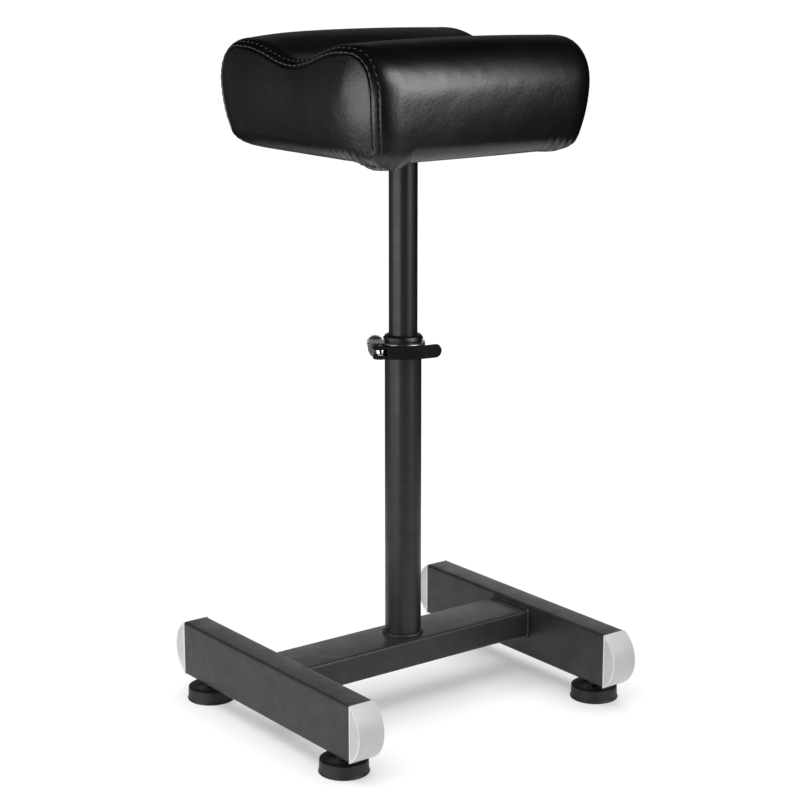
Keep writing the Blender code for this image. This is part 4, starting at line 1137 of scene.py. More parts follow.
def travel_along(path):
    """Length of a path up to each of its points."""
    return np.append(0, np.cumsum(np.linalg.norm(np.diff(path, axis=0), axis=1)))


def tree_of(points):
    """Search tree of a list of points."""
    tree = KDTree(len(points))
    for index, point in enumerate(points):
        tree.insert(point, index)
    tree.balance()
    return tree


def vectors(piece, kind):
    """Places or normals of a mesh's points, as rows."""
    found = np.zeros(len(piece.data.vertices) * 3)
    piece.data.vertices.foreach_get(kind, found)
    return found.reshape(-1, 3)


def place_points(piece, places):
    """Moves a mesh's points."""
    piece.data.vertices.foreach_set("co", places.ravel())
    piece.data.update()


def edge_roll(share):
    """One at the edge and zero from the inner end of the roll, along a quarter of a superellipse."""
    inward = 1 - np.clip(share, 0, 1)
    return 1 - (1 - inward**ROLL_POWER) ** (1 / ROLL_POWER)


def half_section(x, side):
    """Outline of the cushion across X from the groove to the foot of its wall, on the front or back side."""
    beyond = min(max(abs(x) - (HALF_LENGTH - PLAN_CORNER), 0) / PLAN_CORNER, 1)
    corner = PLAN_CORNER * (1 - (1 - beyond**CORNER_POWER) ** (1 / CORNER_POWER))
    width = HALF_WIDTH - corner + SIDE_BOW * (1 - (x / HALF_LENGTH) ** 2)
    across = width * (1 - (1 - np.linspace(0, 1, TOP_POINTS)) ** 2)
    groove = np.where(
        across < RIDGE_OFFSET, GROOVE_DEPTH * (1 + np.cos(math.pi * across / RIDGE_OFFSET)) / 2, 0
    )
    roll = SIDE_DROP * edge_roll((width - across) / SIDE_ROLL)
    end = END_DROP * edge_roll(np.array((HALF_LENGTH - abs(x)) / END_ROLL))
    height = CUSHION_HEIGHT - groove - np.sqrt(roll**2 + end**2) - CROWN * (x / HALF_LENGTH) ** 2
    wall = np.linspace(height[-1], BOTTOM_EDGE, WALL_POINTS)[1:]
    outline = np.stack([np.append(across, np.full_like(wall, width)), np.append(height, wall)], 1)
    outline[:, 0] *= side
    return outline


def drawn_in(points):
    """Draws the lower part of the cushion in towards the board."""
    rise = np.clip(points[:, 2] / DRAW_HEIGHT, 0, 1)
    draw = DRAW_IN * (1 - rise) ** DRAW_POWER
    points[:, 0] *= 1 - draw / HALF_LENGTH
    points[:, 1] *= 1 - draw / HALF_WIDTH
    return points


def along_outline(outline, shares):
    """Points at shares of the way along an outline."""
    travel = travel_along(outline)
    spots = np.array(shares) * travel[-1]
    return np.stack([np.interp(spots, travel, outline[:, axis]) for axis in (0, 1)], 1)


def x_lines():
    """Places of the lines across the cushion, close together beside both seams."""
    seam = HALF_LENGTH - SEAM_INSET
    beside = [seam - step * MM for step in SEAM_LINES]
    inner = beside[-1]
    count = round(2 * inner / PLAIN_PITCH)
    plain = [inner - 2 * inner * step / count for step in range(1, count)]
    return sorted([-place for place in beside] + plain + beside)


def panel_lines():
    """Shares of the way across the top panel, from the front shoulder to the back one."""
    inner = PANEL_ENDS[-1]
    plain = np.linspace(inner, 1 - inner, PANEL_LINES)[1:-1]
    return [*PANEL_ENDS, *plain, *(1 - np.array(PANEL_ENDS[::-1]))]


def top_share():
    """Share of the half section that belongs to the top panel's lines, up to the middle of the shoulder."""
    outline = half_section(0, 1)
    travel = travel_along(outline)
    shoulder = np.argmax(outline[:, 0] > HALF_WIDTH - SHOULDER * SIDE_ROLL)
    return travel[shoulder] / travel[-1]


def wrap_points():
    """Grid of points of the panel that wraps over the cushion: one row for each line across it.

    Beside the ends the rows bend inwards on the walls, so that the seam lies round the upright corners.
    """
    share = top_share()
    panel = 2 * np.array(panel_lines()) - 1
    rise = share + (1 - share) * (1 - np.array(WALL_LINES))
    fine = np.linspace(-HALF_LENGTH, HALF_LENGTH, SECTIONS)
    sections = []
    for x in fine:
        front, back = half_section(x, -1), half_section(x, 1)
        tops = [along_outline(outline, share * np.abs(panel)) for outline in (front, back)]
        top = np.where((panel < 0)[:, None], *tops)
        walls = [along_outline(outline, rise)[:-1] for outline in (front, back)]
        sections.append(np.concatenate([walls[0], top, walls[1][::-1]]))
    sections = np.array(sections)
    lines = np.array(x_lines())
    near_end = smooth_step(np.abs(lines), HALF_LENGTH - INSET_LENGTH, HALF_LENGTH - SEAM_INSET)
    columns = []
    for spot in range(sections.shape[1]):
        across = np.array(abs(sections[SECTIONS // 2, spot, 0]))
        bend = WALL_INSET * smooth_step(across, RIDGE_OFFSET + INSET_PAST, HALF_WIDTH - INSET_SHORT)
        x = lines - np.sign(lines) * bend * near_end
        columns.append(np.stack([x, *(np.interp(x, fine, sections[:, spot, axis]) for axis in (0, 1))], 1))
    return np.array(columns).transpose(1, 0, 2)


def end_points(seam):
    """Grid of points of an end panel inside its seam, from the front to the back and from the foot up."""
    count = len(WALL_LINES) - 1
    front, top, back = seam[: count + 1, 1:], seam[count:-count, 1:], seam[-count - 1 :, 1:][::-1]
    across = np.array(panel_lines())
    up = np.array(WALL_LINES)
    foot = front[0] + (back[0] - front[0]) * across[:, None]
    u, w = across[:, None, None], up[None, :, None]
    blend = (1 - w) * foot[:, None] + w * top[:, None] + (1 - u) * front[None] + u * back[None]
    blend -= (1 - u) * (1 - w) * foot[0] + u * (1 - w) * foot[-1] + (1 - u) * w * top[0] + u * w * top[-1]
    tree = tree_of([(0, *point[1:]) for point in seam])
    found = [[tree.find((0, *point)) for point in column] for column in blend]
    edge_x = np.array([[seam[index, 0] for _, index, _ in column] for column in found])
    away = np.array([[distance for _, _, distance in column] for column in found])
    side = math.copysign(1, seam[0, 0])
    share = 1 - (1 - np.clip(away / END_REACH, 0, 1)) ** END_POWER
    bulge = (side * (HALF_LENGTH + END_BOW) - edge_x) * share
    return np.concatenate([(edge_x + bulge)[:, :, None], blend], 2)


def underside_steps():
    """Draw and rise of each loop from the foot of the walls under the board."""
    slope = DRAW_IN * DRAW_POWER / DRAW_HEIGHT * (1 - BOTTOM_EDGE / DRAW_HEIGHT) ** (DRAW_POWER - 1)
    lean = math.atan(slope)
    radius = BOTTOM_EDGE / (1 - math.sin(lean))
    angles = np.linspace(lean, math.pi / 2, EDGE_POINTS)
    draws, drops = -radius * np.cos(angles), radius * np.sin(angles)
    turn = [(draw, -drop) for draw, drop in zip(np.diff(draws), np.diff(drops))]
    flat = [(RETURN_WIDTH / (2 * RETURN_LOOPS), 0)] * RETURN_LOOPS
    return [*turn, *flat, *CUT_EDGE]


def cushion_shell():
    """Closed quad shell: a grid pulled up into a box, its points then moved to the cushion's form."""
    wrap = wrap_points()
    rows, columns, levels = len(x_lines()), len(panel_lines()), len(WALL_LINES)
    bpy.ops.mesh.primitive_grid_add(x_subdivisions=rows - 1, y_subdivisions=columns - 1, size=2)
    shell = start("grooved_cushion")
    edit(shell, "FACE")
    bpy.ops.mesh.select_all(action="SELECT")
    for _ in range(levels - 1):
        bpy.ops.mesh.extrude_region_move(TRANSFORM_OT_translate={"value": (0, 0, 1)})
    pick(shell, "faces", lambda face: max(vert.co.z for vert in face.verts) < 0.5)
    bpy.ops.mesh.delete(type="FACE")
    leave()
    ends = {0: end_points(wrap[0]), rows - 1: end_points(wrap[-1])}
    places = np.zeros((len(shell.data.vertices), 3))
    address = np.zeros((len(shell.data.vertices), 3), int)
    for vert in shell.data.vertices:
        row = round((vert.co.x + 1) / 2 * (rows - 1))
        column = round((vert.co.y + 1) / 2 * (columns - 1))
        level = round(vert.co.z)
        address[vert.index] = row, column, level
        if row in ends:
            places[vert.index] = ends[row][column][level]
        elif level == levels - 1:
            places[vert.index] = wrap[row][levels - 1 + column]
        elif column == 0:
            places[vert.index] = wrap[row][level]
        else:
            places[vert.index] = wrap[row][-1 - level]
    places = drawn_in(places)
    worn = np.hypot(places[:, 0] + HALF_LENGTH, places[:, 1] - RIDGE_OFFSET - WORN_BEYOND)
    near_top = smooth_step(places[:, 2], WORN_FROM * CUSHION_HEIGHT, CUSHION_HEIGHT)
    places[:, 2] -= WORN_DROP * bell(worn, WORN_REACH) * near_top
    places[:, 2] += COVER_LOW.z
    place_points(shell, places)
    edit(shell, "EDGE")
    for draw, rise in underside_steps():
        pick(shell, "edges", lambda edge: edge.is_boundary)
        bpy.ops.mesh.extrude_region_move(TRANSFORM_OT_translate={"value": (0, 0, rise)})
        scale = (1 - draw / (HALF_LENGTH - DRAW_IN), 1 - draw / (HALF_WIDTH - DRAW_IN), 1)
        bpy.ops.transform.resize(value=scale, center_override=(0, 0, 0))
    pick(shell, "edges", lambda edge: edge.is_boundary)
    bpy.ops.mesh.fill(use_beauty=True)
    leave()
    tidy(shell)
    return shell, address


# Leather under the pressure of its filling
CLOTH = {
    "quality": 6,
    "mass": 0.4,
    "tension_stiffness": 30,
    "compression_stiffness": 30,
    "shear_stiffness": 12,
    "bending_stiffness": 3,
    "use_pressure": True,
    "uniform_pressure_force": 4,
    "vertex_group_mass": "held",
    "pin_stiffness": 1.0,
}
CLOTH_FRAMES = 20
CAGE_PITCH = 5 * MM
# Where the leather is held: beside a seam, under a share of the lower edge, and partly in the groove
HELD_BESIDE, HELD_BELOW = 9 * MM, 0.3
GROOVE_HOLD, GROOVE_REACH, GROOVE_FROM = 0.6, 40 * MM, 0.5
EVENING_PASSES = 24
# How many points of the cage move a point of the shell, and a distance that evens out their shares
CARRIERS, CARRIER_SPREAD = 6, 0.5 * MM
# Stands in for a reach of zero
TINY = 1e-9


def hold(point, seam):
    """How firmly a point of the leather is held."""
    near = max(0.0, 1 - seam.find(point)[2] / HELD_BESIDE)
    low = 1.0 if point[2] < COVER_LOW.z + HELD_BELOW * BOTTOM_EDGE else 0.0
    on_top = point[2] > COVER_LOW.z + GROOVE_FROM * CUSHION_HEIGHT
    valley = max(0.0, 1 - abs(point[1]) / GROOVE_REACH) * GROOVE_HOLD if on_top else 0
    return max(near, low, valley)


def evened(piece, moved):
    """Evens a movement out over the mesh, so that no buckle of the cloth is left in it."""
    links = np.zeros(len(piece.data.edges) * 2, int)
    piece.data.edges.foreach_get("vertices", links)
    first, second = links.reshape(-1, 2).T
    count = np.bincount(links, minlength=len(moved))[:, None]
    for _ in range(EVENING_PASSES):
        total = np.zeros_like(moved)
        np.add.at(total, first, moved[second])
        np.add.at(total, second, moved[first])
        moved = 0.5 * moved + 0.5 * total / count
    return moved


def swollen(shell, seam_points):
    """How far the filling moves each point of the shell: cloth under pressure, held at seams and board."""
    cage = bpy.data.objects.new("cage", shell.data.copy())
    bpy.context.scene.collection.objects.link(cage)
    only(cage)
    cage.data.remesh_voxel_size = CAGE_PITCH
    bpy.ops.object.voxel_remesh()
    before = vectors(cage, "co")
    seam = tree_of(seam_points)
    held = cage.vertex_groups.new(name="held")
    for index, point in enumerate(before):
        held.add([index], hold(point, seam), "REPLACE")
    cloth = cage.modifiers.new("filling", "CLOTH")
    for name, value in CLOTH.items():
        setattr(cloth.settings, name, value)
    cloth.settings.effector_weights.gravity = 0
    cloth.point_cache.frame_start, cloth.point_cache.frame_end = 1, CLOTH_FRAMES
    for step in range(1, CLOTH_FRAMES + 1):
        bpy.context.scene.frame_set(step)
    apply(cage, cloth)
    moved = vectors(cage, "co") - before
    reach = np.linalg.norm(moved, axis=1)
    limit = sizes().swell
    moved *= (limit * np.tanh(reach / limit) / np.maximum(reach, TINY))[:, None]
    moved = evened(cage, moved)
    tree = tree_of(before)
    shift = np.zeros((len(shell.data.vertices), 3))
    for vert in shell.data.vertices:
        found = tree.find_n(vert.co, CARRIERS)
        weights = np.array([1 / (distance + CARRIER_SPREAD) for _, _, distance in found])
        shift[vert.index] = weights @ moved[[index for _, index, _ in found]] / weights.sum()
    bpy.context.scene.frame_set(1)
    bpy.data.objects.remove(cage, do_unlink=True)
    return shift


# Leather beside a seam: width of its folded edge's rise and where that fades out, width and depths of the
# two sewn rows, and depth and width of the gap on the other side, the depth as a multiple of the lap
LAP_RISE, LAP_FADE, LAP_END = 0.5 * MM, 9 * MM, 24 * MM
ROW_WIDTH, EDGE_ROW_DEPTH, INNER_ROW_DEPTH = 0.9 * MM, 0.15 * MM, 0.45 * MM
GAP_DEPTH, GAP_WIDTH = 1.5, 1.5 * MM
# The relief reaches this far in from the ends and is full from this height up. It is measured from this many
# points on each step of a seam
RELIEF_REACH, RELIEF_RISE, SEAM_POINTS = 45 * MM, 4 * MM, 10


def seam_relief(away, on_wrap):
    """Height of the leather beside a seam: a folded edge over the end panel, and its two sewn rows."""
    size = sizes()
    lap = size.seam_lap * np.clip(away / LAP_RISE, 0, 1) * (1 - smooth_step(away, LAP_FADE, LAP_END))
    lap -= EDGE_ROW_DEPTH * bell(away - size.edge_row, ROW_WIDTH)
    lap -= INNER_ROW_DEPTH * bell(away - size.inner_row, ROW_WIDTH)
    return np.where(on_wrap, lap, -GAP_DEPTH * size.seam_lap * bell(away, GAP_WIDTH))


# Sag of the slack leather, depth of the pleats and their share on the long side, at each lower corner
GATHERS = {
    "front_left": (6.5 * MM, 1.0 * MM, 0.25),
    "front_right": (1.5 * MM, 0.8 * MM, 1.0),
    "back_left": (0.5 * MM, 0.3 * MM, 0.25),
    "back_right": (2.5 * MM, 0.5 * MM, 0.25),
}
# A gathered corner: inset of its middle and width of its band, and where along the edge the sag starts, is
# full, falls off and ends, with its height
GATHER_INSET, GATHER_BAND = 7 * MM, 14 * MM
SAG_START, SAG_FULL, SAG_FALL, SAG_END, SAG_HEIGHT = -42 * MM, -6 * MM, 20 * MM, 38 * MM, 24 * MM
# Pleats: reach, heights between which they fade, where they change to the long side's share, and two waves
# with their share, length and start
PLEAT_REACH, PLEAT_LOW, PLEAT_HIGH, PLEAT_SHORT, PLEAT_LONG = 40 * MM, MM, 20 * MM, -2 * MM, 6 * MM
PLEAT_WAVES = ((1, 9.5 * MM, 1), (0.6, 5.7 * MM, 0))
# Hem: depth as a share of the gather, reach, and heights and width of its two lines
HEM_DEPTH, HEM_REACH, HEM_LINES, HEM_WIDTH = 0.7, 48 * MM, (2.2 * MM, 5.2 * MM), 0.8 * MM
# Tuck beside the corner: depth as a multiple of the pleats, place along and up, half length and half
# height, how soon it turns into a raised rim, and how soon that falls off
TUCK_DEPTH, TUCK_ALONG, TUCK_UP, TUCK_LENGTH, TUCK_HEIGHT = 4.2, -9 * MM, 6 * MM, 4.5 * MM, 2.8 * MM
TUCK_RIM, TUCK_FALL = 0.5, 0.6
# Share of a fold that also pushes along the side it lies on
SIDEWAYS = 0.3
# Puckers of the long sides: waves with their height, fine and slow lengths in millimetres, and their starts
PUCKERS = ((1, 2.1, 0, 11.3, 0.7), (0.6, 1.3, 2, 8.4, 0))
PUCKER_BAND, PUCKER_LOW, PUCKER_HIGH = 40 * MM, 3 * MM, 22 * MM
# Their strength on the left, what the right adds, and between which places in millimetres it grows
PUCKER_LEFT, PUCKER_RIGHT, PUCKER_FROM, PUCKER_TO = 0.15, 0.35, 50, 105


def corner_gathers(points):
    """The leather gathered under the four lower corners: a slack pouch, short pleats and a rolled hem."""
    size = sizes()
    shift = np.zeros_like(points)
    height = points[:, 2] - COVER_LOW.z
    inset = DRAW_IN + GATHER_INSET
    for name, side, end in CORNERS:
        pouch, pleat, long_share = GATHERS[name]
        corner = np.array([side * (HALF_LENGTH - inset), end * (HALF_WIDTH - inset)])
        offset = (corner - points[:, :2]) * np.array([side, end])
        along = np.clip(offset[:, 0], 0, None) - np.clip(offset[:, 1], 0, None)
        reach = np.abs(offset).max(axis=1)
        edge = offset.min(axis=1) < GATHER_BAND
        slack = smooth_step(along, SAG_START, SAG_FULL) * (1 - smooth_step(along, SAG_FALL, SAG_END)) * edge
        shift[:, 2] -= pouch * slack * (1 - smooth_step(height, 0, SAG_HEIGHT))
        fold = sum(share * np.sin(2 * math.pi * along / wave + first) for share, wave, first in PLEAT_WAVES)
        fold *= 1 - (1 - long_share) * smooth_step(along, PLEAT_SHORT, PLEAT_LONG)
        fold *= bell(reach, PLEAT_REACH) * (1 - smooth_step(height, PLEAT_LOW, PLEAT_HIGH))
        lines = sum(bell(height - level, HEM_WIDTH) for level in HEM_LINES)
        hem = HEM_DEPTH * lines * bell(reach, HEM_REACH)
        ring = ((along - TUCK_ALONG) / TUCK_LENGTH) ** 2 + ((height - TUCK_UP) / TUCK_HEIGHT) ** 2
        tuck = TUCK_DEPTH * (1 - TUCK_RIM * ring) * np.exp(-TUCK_FALL * ring)
        depth = (pleat * (fold - tuck) - size.gather * hem) * edge
        on_end = offset[:, 0] < offset[:, 1]
        push = [side * np.where(on_end, 1, SIDEWAYS), end * np.where(on_end, SIDEWAYS, 1)]
        shift[:, :2] += depth[:, None] * np.stack(push, 1)
    # Small uneven puckers where the long sides are pulled under the board
    x = points[:, 0] / MM
    pucker = sum(
        share * np.sin(x / fine + first) * np.sin(x / slow + second)
        for share, fine, first, slow, second in PUCKERS
    )
    near = 1 - smooth_step(height, PUCKER_LOW, PUCKER_HIGH)
    near *= np.abs(points[:, 1]) > HALF_WIDTH - PUCKER_BAND
    near *= PUCKER_LEFT + PUCKER_RIGHT * smooth_step(x, PUCKER_FROM, PUCKER_TO)
    shift[:, 1] += np.sign(points[:, 1]) * size.gather * pucker * near
    return shift


class FOOTREST_OT_cushion(bpy.types.Operator):
    """Make the padded leather cushion with its groove, seams and gathered corners"""

    bl_idname = "footrest.cushion"
    bl_label = "Cushion"

    def execute(self, context):
        shell, address = cushion_shell()
        rows, columns, levels = len(x_lines()), len(panel_lines()), len(WALL_LINES)
        places = vectors(shell, "co")
        known = len(address)
        row, column, level = address.T
        rim = (level == levels - 1) | (column == 0) | (column == columns - 1)
        on_seam = ((row == 0) | (row == rows - 1)) & rim
        places += swollen(shell, places[:known][on_seam])
        place_points(shell, places)
        paths = self.rows(places[:known], address, rows, columns, levels)
        context.scene["footrest_rows"] = {name: path.ravel().tolist() for name, path in paths.items()}

        finer = shell.modifiers.new("finer", "SUBSURF")
        finer.levels = finer.render_levels = 1
        apply(shell, finer)
        self.relief(shell, paths)
        points = vectors(shell, "co")
        place_points(shell, points + corner_gathers(points))
        nodes = ["cushion_cover", "foam_block"]
        dress(shell, "black upholstery leather", "cushion_top", nodes, angle=180)
        return {"FINISHED"}

    def rows(self, places, address, rows, columns, levels):
        """Paths of the seams and of the rows of stitches beside them."""
        order = {tuple(spot): index for index, spot in enumerate(address.tolist())}
        section = [(0, level) for level in range(levels - 1)]
        section += [(column, levels - 1) for column in range(columns)]
        section += [(columns - 1, level) for level in range(levels - 2, -1, -1)]
        beside = (("seam", 0.0), ("edge", sizes().edge_row), ("inner", sizes().inner_row))
        paths = {}
        for name, first, step in (("left", 0, 1), ("right", rows - 1, -1)):
            lines = [
                [places[order[(first + step * line, *spot)]] for line in range(len(SEAM_LINES))]
                for spot in section
            ]
            for kind, distance in beside:
                path = []
                for line in np.array(lines):
                    travel = travel_along(line)
                    path.append([np.interp(distance, travel, line[:, axis]) for axis in range(3)])
                paths[f"{name}_{kind}"] = np.array(path)
        return paths

    def relief(self, shell, paths):
        """Raises and sinks the leather beside both seams."""
        points, outward = vectors(shell, "co"), vectors(shell, "normal")
        shift = np.zeros(len(points))
        for side, name in ((-1, "left_seam"), (1, "right_seam")):
            first, step = paths[name][:-1], np.diff(paths[name], axis=0)
            shares = np.linspace(0, 1, SEAM_POINTS, endpoint=False)
            dense = np.concatenate([first + step * share for share in shares])
            tree = tree_of(dense)
            near = np.where(points[:, 0] * side > HALF_LENGTH - RELIEF_REACH)[0]
            found = [tree.find(points[index]) for index in near]
            away = np.array([distance for _, _, distance in found])
            spot = np.array([index for _, index, _ in found])
            on_wrap = (points[near, 0] - dense[spot, 0]) * side < 0
            above = np.clip((points[near, 2] - COVER_LOW.z) / RELIEF_RISE, 0, 1)
            shift[near] += seam_relief(away, on_wrap) * above
        place_points(shell, points + outward * shift[:, None])


def copies(name, model, places):
    """One mesh that holds a copy of a model at each place."""
    shape = bmesh.new()
    for place in places:
        first = len(shape.verts)
        shape.from_mesh(model.data)
        shape.verts.ensure_lookup_table()
        bmesh.ops.transform(shape, matrix=place, verts=shape.verts[first:])
    mesh = bpy.data.meshes.new(name)
    shape.to_mesh(mesh)
    shape.free()
    piece = bpy.data.objects.new(name, mesh)
    bpy.context.scene.collection.objects.link(piece)
    bpy.data.objects.remove(model, do_unlink=True)
    return piece


def lying(point, along, outward):
    """Place of a small piece that lies along a direction on a surface."""
    across = outward.cross(along).normalized()
    along = across.cross(outward)
    turn = Matrix((along, across, outward)).transposed().to_4x4()
    return Matrix.Translation(point) @ turn


# Lean of the stitches, their thickness and how far they stand off the leather as shares of their width, and
# what is left free at both ends of a row
STITCH_LEAN = {"edge": 0.0, "inner": math.radians(20)}
STITCH_FLAT, STITCH_RISE, ROW_MARGIN = 0.8, 0.1, 4 * MM
# Staples: half width and half thickness of the wire and its edge, pitch, number on each side of the middle,
# slant, inset from the cut edge and how far they stand off
WIRE_HALF, WIRE_THICK, WIRE_INSET, WIRE_EDGE = 0.45 * MM, 0.3 * MM, 0.05 * MM, 0.15 * MM
STAPLE_PITCH, STAPLE_COUNT, STAPLE_SLANT = 24 * MM, 4, 0.12
STAPLE_INSET, STAPLE_RISE = 3 * MM, 0.2 * MM


class FOOTREST_OT_sewing(bpy.types.Operator):
    """Sew the rows of stitches, and staple the leather under the cushion"""

    bl_idname = "footrest.sewing"
    bl_label = "Stitches and staples"

    def execute(self, context):
        cushion = bpy.data.objects["grooved_cushion"]
        rows = context.scene["footrest_rows"]
        for side in ("left", "right"):
            for row, reach in (("edge", sizes().edge_stitch), ("inner", sizes().inner_stitch)):
                path = np.array(rows[f"{side}_{row}"]).reshape(-1, 3)
                stitches = copies(f"{side}_{row}_stitches", *self.stitches(cushion, row, reach, path))
                dress(stitches, "grey polyester thread", "cushion_top", [], angle=60)
        staples = copies("staples", *self.staples(cushion))
        dress(staples, "zinc plated steel", "cushion_top", [])
        return {"FINISHED"}

    def stitches(self, cushion, row, reach, path):
        """A stitch, and its places along a row."""
        width, pitch = sizes().stitch_width, sizes().stitch_pitch
        bpy.ops.object.select_all(action="DESELECT")
        turn = (0, math.pi / 2, 0)
        bpy.ops.mesh.primitive_uv_sphere_add(segments=8, ring_count=6, radius=0.5, rotation=turn)
        stitch = start("stitch")
        stitch.data.transform(Matrix.Diagonal((reach, width, STITCH_FLAT * width, 1)))
        stitch.data.transform(Matrix.Rotation(STITCH_LEAN[row], 4, "Z"))
        travel = travel_along(path)
        places = []
        for index in range(int((travel[-1] - 2 * ROW_MARGIN) / pitch)):
            middle = ROW_MARGIN + (index + 0.5) * pitch
            first, last = (
                Vector([np.interp(way, travel, path[:, axis]) for axis in range(3)])
                for way in (middle - reach / 2, middle + reach / 2)
            )
            _, point, outward, _ = cushion.closest_point_on_mesh((first + last) / 2)
            places.append(lying(point + STITCH_RISE * width * outward, last - first, outward))
        return stitch, places

    def staples(self, cushion):
        """A staple, and its places under the cushion."""
        half = sizes().staple / 2
        wire = block("wire", (-half, -WIRE_HALF, -WIRE_THICK), (half, WIRE_HALF, WIRE_THICK))
        edit(wire, "FACE")
        pick(wire, "faces", lambda face: abs(face.normal.x) > MOSTLY)
        bpy.ops.mesh.inset(thickness=WIRE_INSET)
        leave()
        soften(wire, WIRE_EDGE, segments=1)
        inset = DRAW_IN + RETURN_WIDTH - STAPLE_INSET
        down = Vector((0, 0, -1))
        places = []
        for step in range(-STAPLE_COUNT, STAPLE_COUNT + 1):
            for side in (-1, 1):
                way, slant = STAPLE_PITCH * step, STAPLE_SLANT * side
                for point, along in (
                    ((way, side * (HALF_WIDTH - inset), COVER_LOW.z), (1, slant, 0)),
                    ((side * (HALF_LENGTH - inset), way, COVER_LOW.z), (slant, 1, 0)),
                ):
                    _, foot, _, _ = cushion.closest_point_on_mesh(Vector(point))
                    places.append(lying(foot + STAPLE_RISE * down, Vector(along), down))
        return wire, places


FLOOR_WIDTH, FLOOR_DROP = 120, 0.5 * MM
SWEEP_RADIUS = 0.8
# Name, place, aim, lean in degrees, width and height, power in watts, and whether it shines in glossy
# surfaces and lights matt ones
SOFTBOXES = (
    ("front_softbox", (0.52, -1.51, 1.32), (0, 0, 1.0), 14, (0.8, 1.65), 40, True, False),
    ("front_strip", (0.40, -1.50, 0.28), (0, 0, 0.4), 0, (0.3, 0.5), 2.4, True, False),
    ("side_softbox", (-1.315, 0.304, 0.52), (0, 0, 0.6), 0, (0.8, 0.85), 9.4, True, False),
    ("side_strip", (-1.34, -0.42, 0.3), (0, 0, 0.4), 0, (0.4, 0.6), 6, True, False),
    ("side_fill", (-1.5, 0.3, 0.5), (0, 0, 0.2), 0, (1.0, 0.8), 6, False, True),
    ("back_wash", (-0.675, 1.17, 0.5), (0, 0, 0.6), 0, (1.2, 0.9), 0.45, True, False),
    ("far_wash", (1.3, 1.7, 1.2), (0, 0, 0.8), 0, (1.8, 0.9), 0.6, True, False),
    ("back_strip", (1.2, 1.6, 0.4), (0, 0, 0.4), 0, (1.2, 0.7), 3.4, True, False),
    ("front_fill", (-1.0, -2.0, 0.9), (0, 0, 0.2), 0, (1.6, 1.2), 7, False, True),
)
# Strength of the light from overhead, and how wide it spreads
GLOW_STRENGTH, GLOW_SPREAD = 3.6, math.radians(85)
# Width of the camera's sensor in millimetres, and how far it sees in metres
SENSOR_WIDTH, CAMERA_REACH = 36, 200


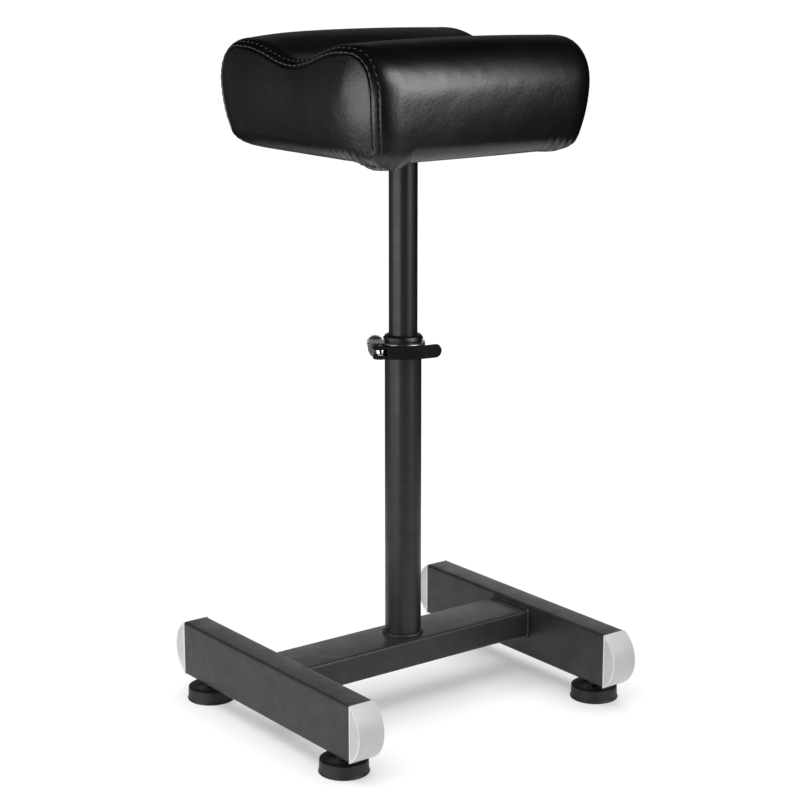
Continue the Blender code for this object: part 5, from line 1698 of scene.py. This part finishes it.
class FOOTREST_OT_stage(bpy.types.Operator):
    """Lay the floor, and set the lights and the camera"""

    bl_idname = "footrest.stage"
    bl_label = "Stage"

    def execute(self, context):
        # The far floor stays out of reflections, as in a studio where only the sweep is white
        floor = sheet("studio_floor", (0, 0, -FLOOR_DROP), (0, 0, 0), (FLOOR_WIDTH, FLOOR_WIDTH))
        floor.visible_glossy = floor.visible_diffuse = False
        bpy.ops.mesh.primitive_circle_add(vertices=ROUND, radius=SWEEP_RADIUS, fill_type="NGON")
        sweep = start("studio_sweep")
        for piece in (floor, sweep):
            piece.data.materials.append(finish_of("pale studio floor"))
        self.lights(context.scene)
        self.camera(context.scene)
        return {"FINISHED"}

    def lights(self, scene):
        """White paper behind the floor, softboxes round the piece and a glow from overhead."""
        world = bpy.data.worlds.new("studio")
        scene.world = world
        world.use_nodes = True
        world.node_tree.nodes["Background"].inputs["Color"].default_value = (1, 1, 1, 1)
        # Beyond the floor the camera sees white paper, which lights nothing
        seen = world.cycles_visibility
        seen.diffuse = seen.glossy = seen.transmission = seen.scatter = False
        for name, place, aim, lean, size, power, shine, matt in SOFTBOXES:
            lamp = bpy.data.lights.new(name, "AREA")
            lamp.shape = "RECTANGLE"
            lamp.size, lamp.size_y = size
            lamp.energy = power
            holder = bpy.data.objects.new(name, lamp)
            scene.collection.objects.link(holder)
            holder.location = place
            holder.visible_camera = False
            holder.visible_glossy, holder.visible_diffuse = shine, matt
            facing = (Vector(place) - Vector(aim)).to_track_quat("Z", "Y")
            holder.rotation_euler = (facing @ Quaternion((0, 0, 1), math.radians(lean))).to_euler()
        glow = bpy.data.lights.new("overhead_glow", "SUN")
        glow.energy = GLOW_STRENGTH
        glow.angle = GLOW_SPREAD
        holder = bpy.data.objects.new("overhead_glow", glow)
        holder.visible_glossy = False
        scene.collection.objects.link(holder)

    def camera(self, scene):
        """The camera of the photo."""
        view = scene.footrest_view
        level = Vector((math.sin(view.azimuth), -math.cos(view.azimuth), 0))
        back = math.cos(view.elevation) * level + math.sin(view.elevation) * Vector((0, 0, 1))
        right = Vector((math.cos(view.azimuth), math.sin(view.azimuth), 0))
        camera = bpy.data.cameras.new("camera")
        camera.lens = view.lens
        camera.sensor_width = SENSOR_WIDTH
        camera.clip_end = CAMERA_REACH
        holder = bpy.data.objects.new("camera", camera)
        scene.collection.objects.link(holder)
        holder.location = Vector((0, 0, view.aim)) + view.distance * back + view.aside * right
        holder.rotation_euler = back.to_track_quat("Z", "Y").to_euler()
        scene.camera = holder
        scene.view_settings.view_transform = "Standard"


OPERATORS = (
    FOOTREST_OT_finishes,
    FOOTREST_OT_stage,
    FOOTREST_OT_base,
    FOOTREST_OT_welds,
    FOOTREST_OT_end_caps,
    FOOTREST_OT_feet,
    FOOTREST_OT_column,
    FOOTREST_OT_collar,
    FOOTREST_OT_lever,
    FOOTREST_OT_mounting,
    FOOTREST_OT_cushion,
    FOOTREST_OT_sewing,
)


class FOOTREST_PT_panel(bpy.types.Panel):
    """Lists the footrest's pieces with their sizes and colours"""

    bl_idname = "FOOTREST_PT_panel"
    bl_label = "Footrest"
    bl_space_type = "VIEW_3D"
    bl_region_type = "UI"
    bl_category = "Footrest"

    def draw(self, context):
        scene = context.scene
        for group in (scene.footrest_sizes, scene.footrest_colours, scene.footrest_view):
            box = self.layout.box()
            for name in group.__annotations__:
                box.prop(group, name)
        for operator in OPERATORS:
            self.layout.operator(operator.bl_idname)


GROUPS = (FootrestSizes, FootrestColours, FootrestView)


def register():
    for kind in (*GROUPS, *OPERATORS, FOOTREST_PT_panel):
        bpy.utils.register_class(kind)
    bpy.types.Scene.footrest_sizes = bpy.props.PointerProperty(type=FootrestSizes)
    bpy.types.Scene.footrest_colours = bpy.props.PointerProperty(type=FootrestColours)
    bpy.types.Scene.footrest_view = bpy.props.PointerProperty(type=FootrestView)


def unregister():
    del bpy.types.Scene.footrest_view
    del bpy.types.Scene.footrest_colours
    del bpy.types.Scene.footrest_sizes
    for kind in reversed((*GROUPS, *OPERATORS, FOOTREST_PT_panel)):
        bpy.utils.unregister_class(kind)


def main():
    register()
    for operator in OPERATORS:
        group, name = operator.bl_idname.split(".")
        getattr(getattr(bpy.ops, group), name)()


if __name__ == "__main__":
    main()
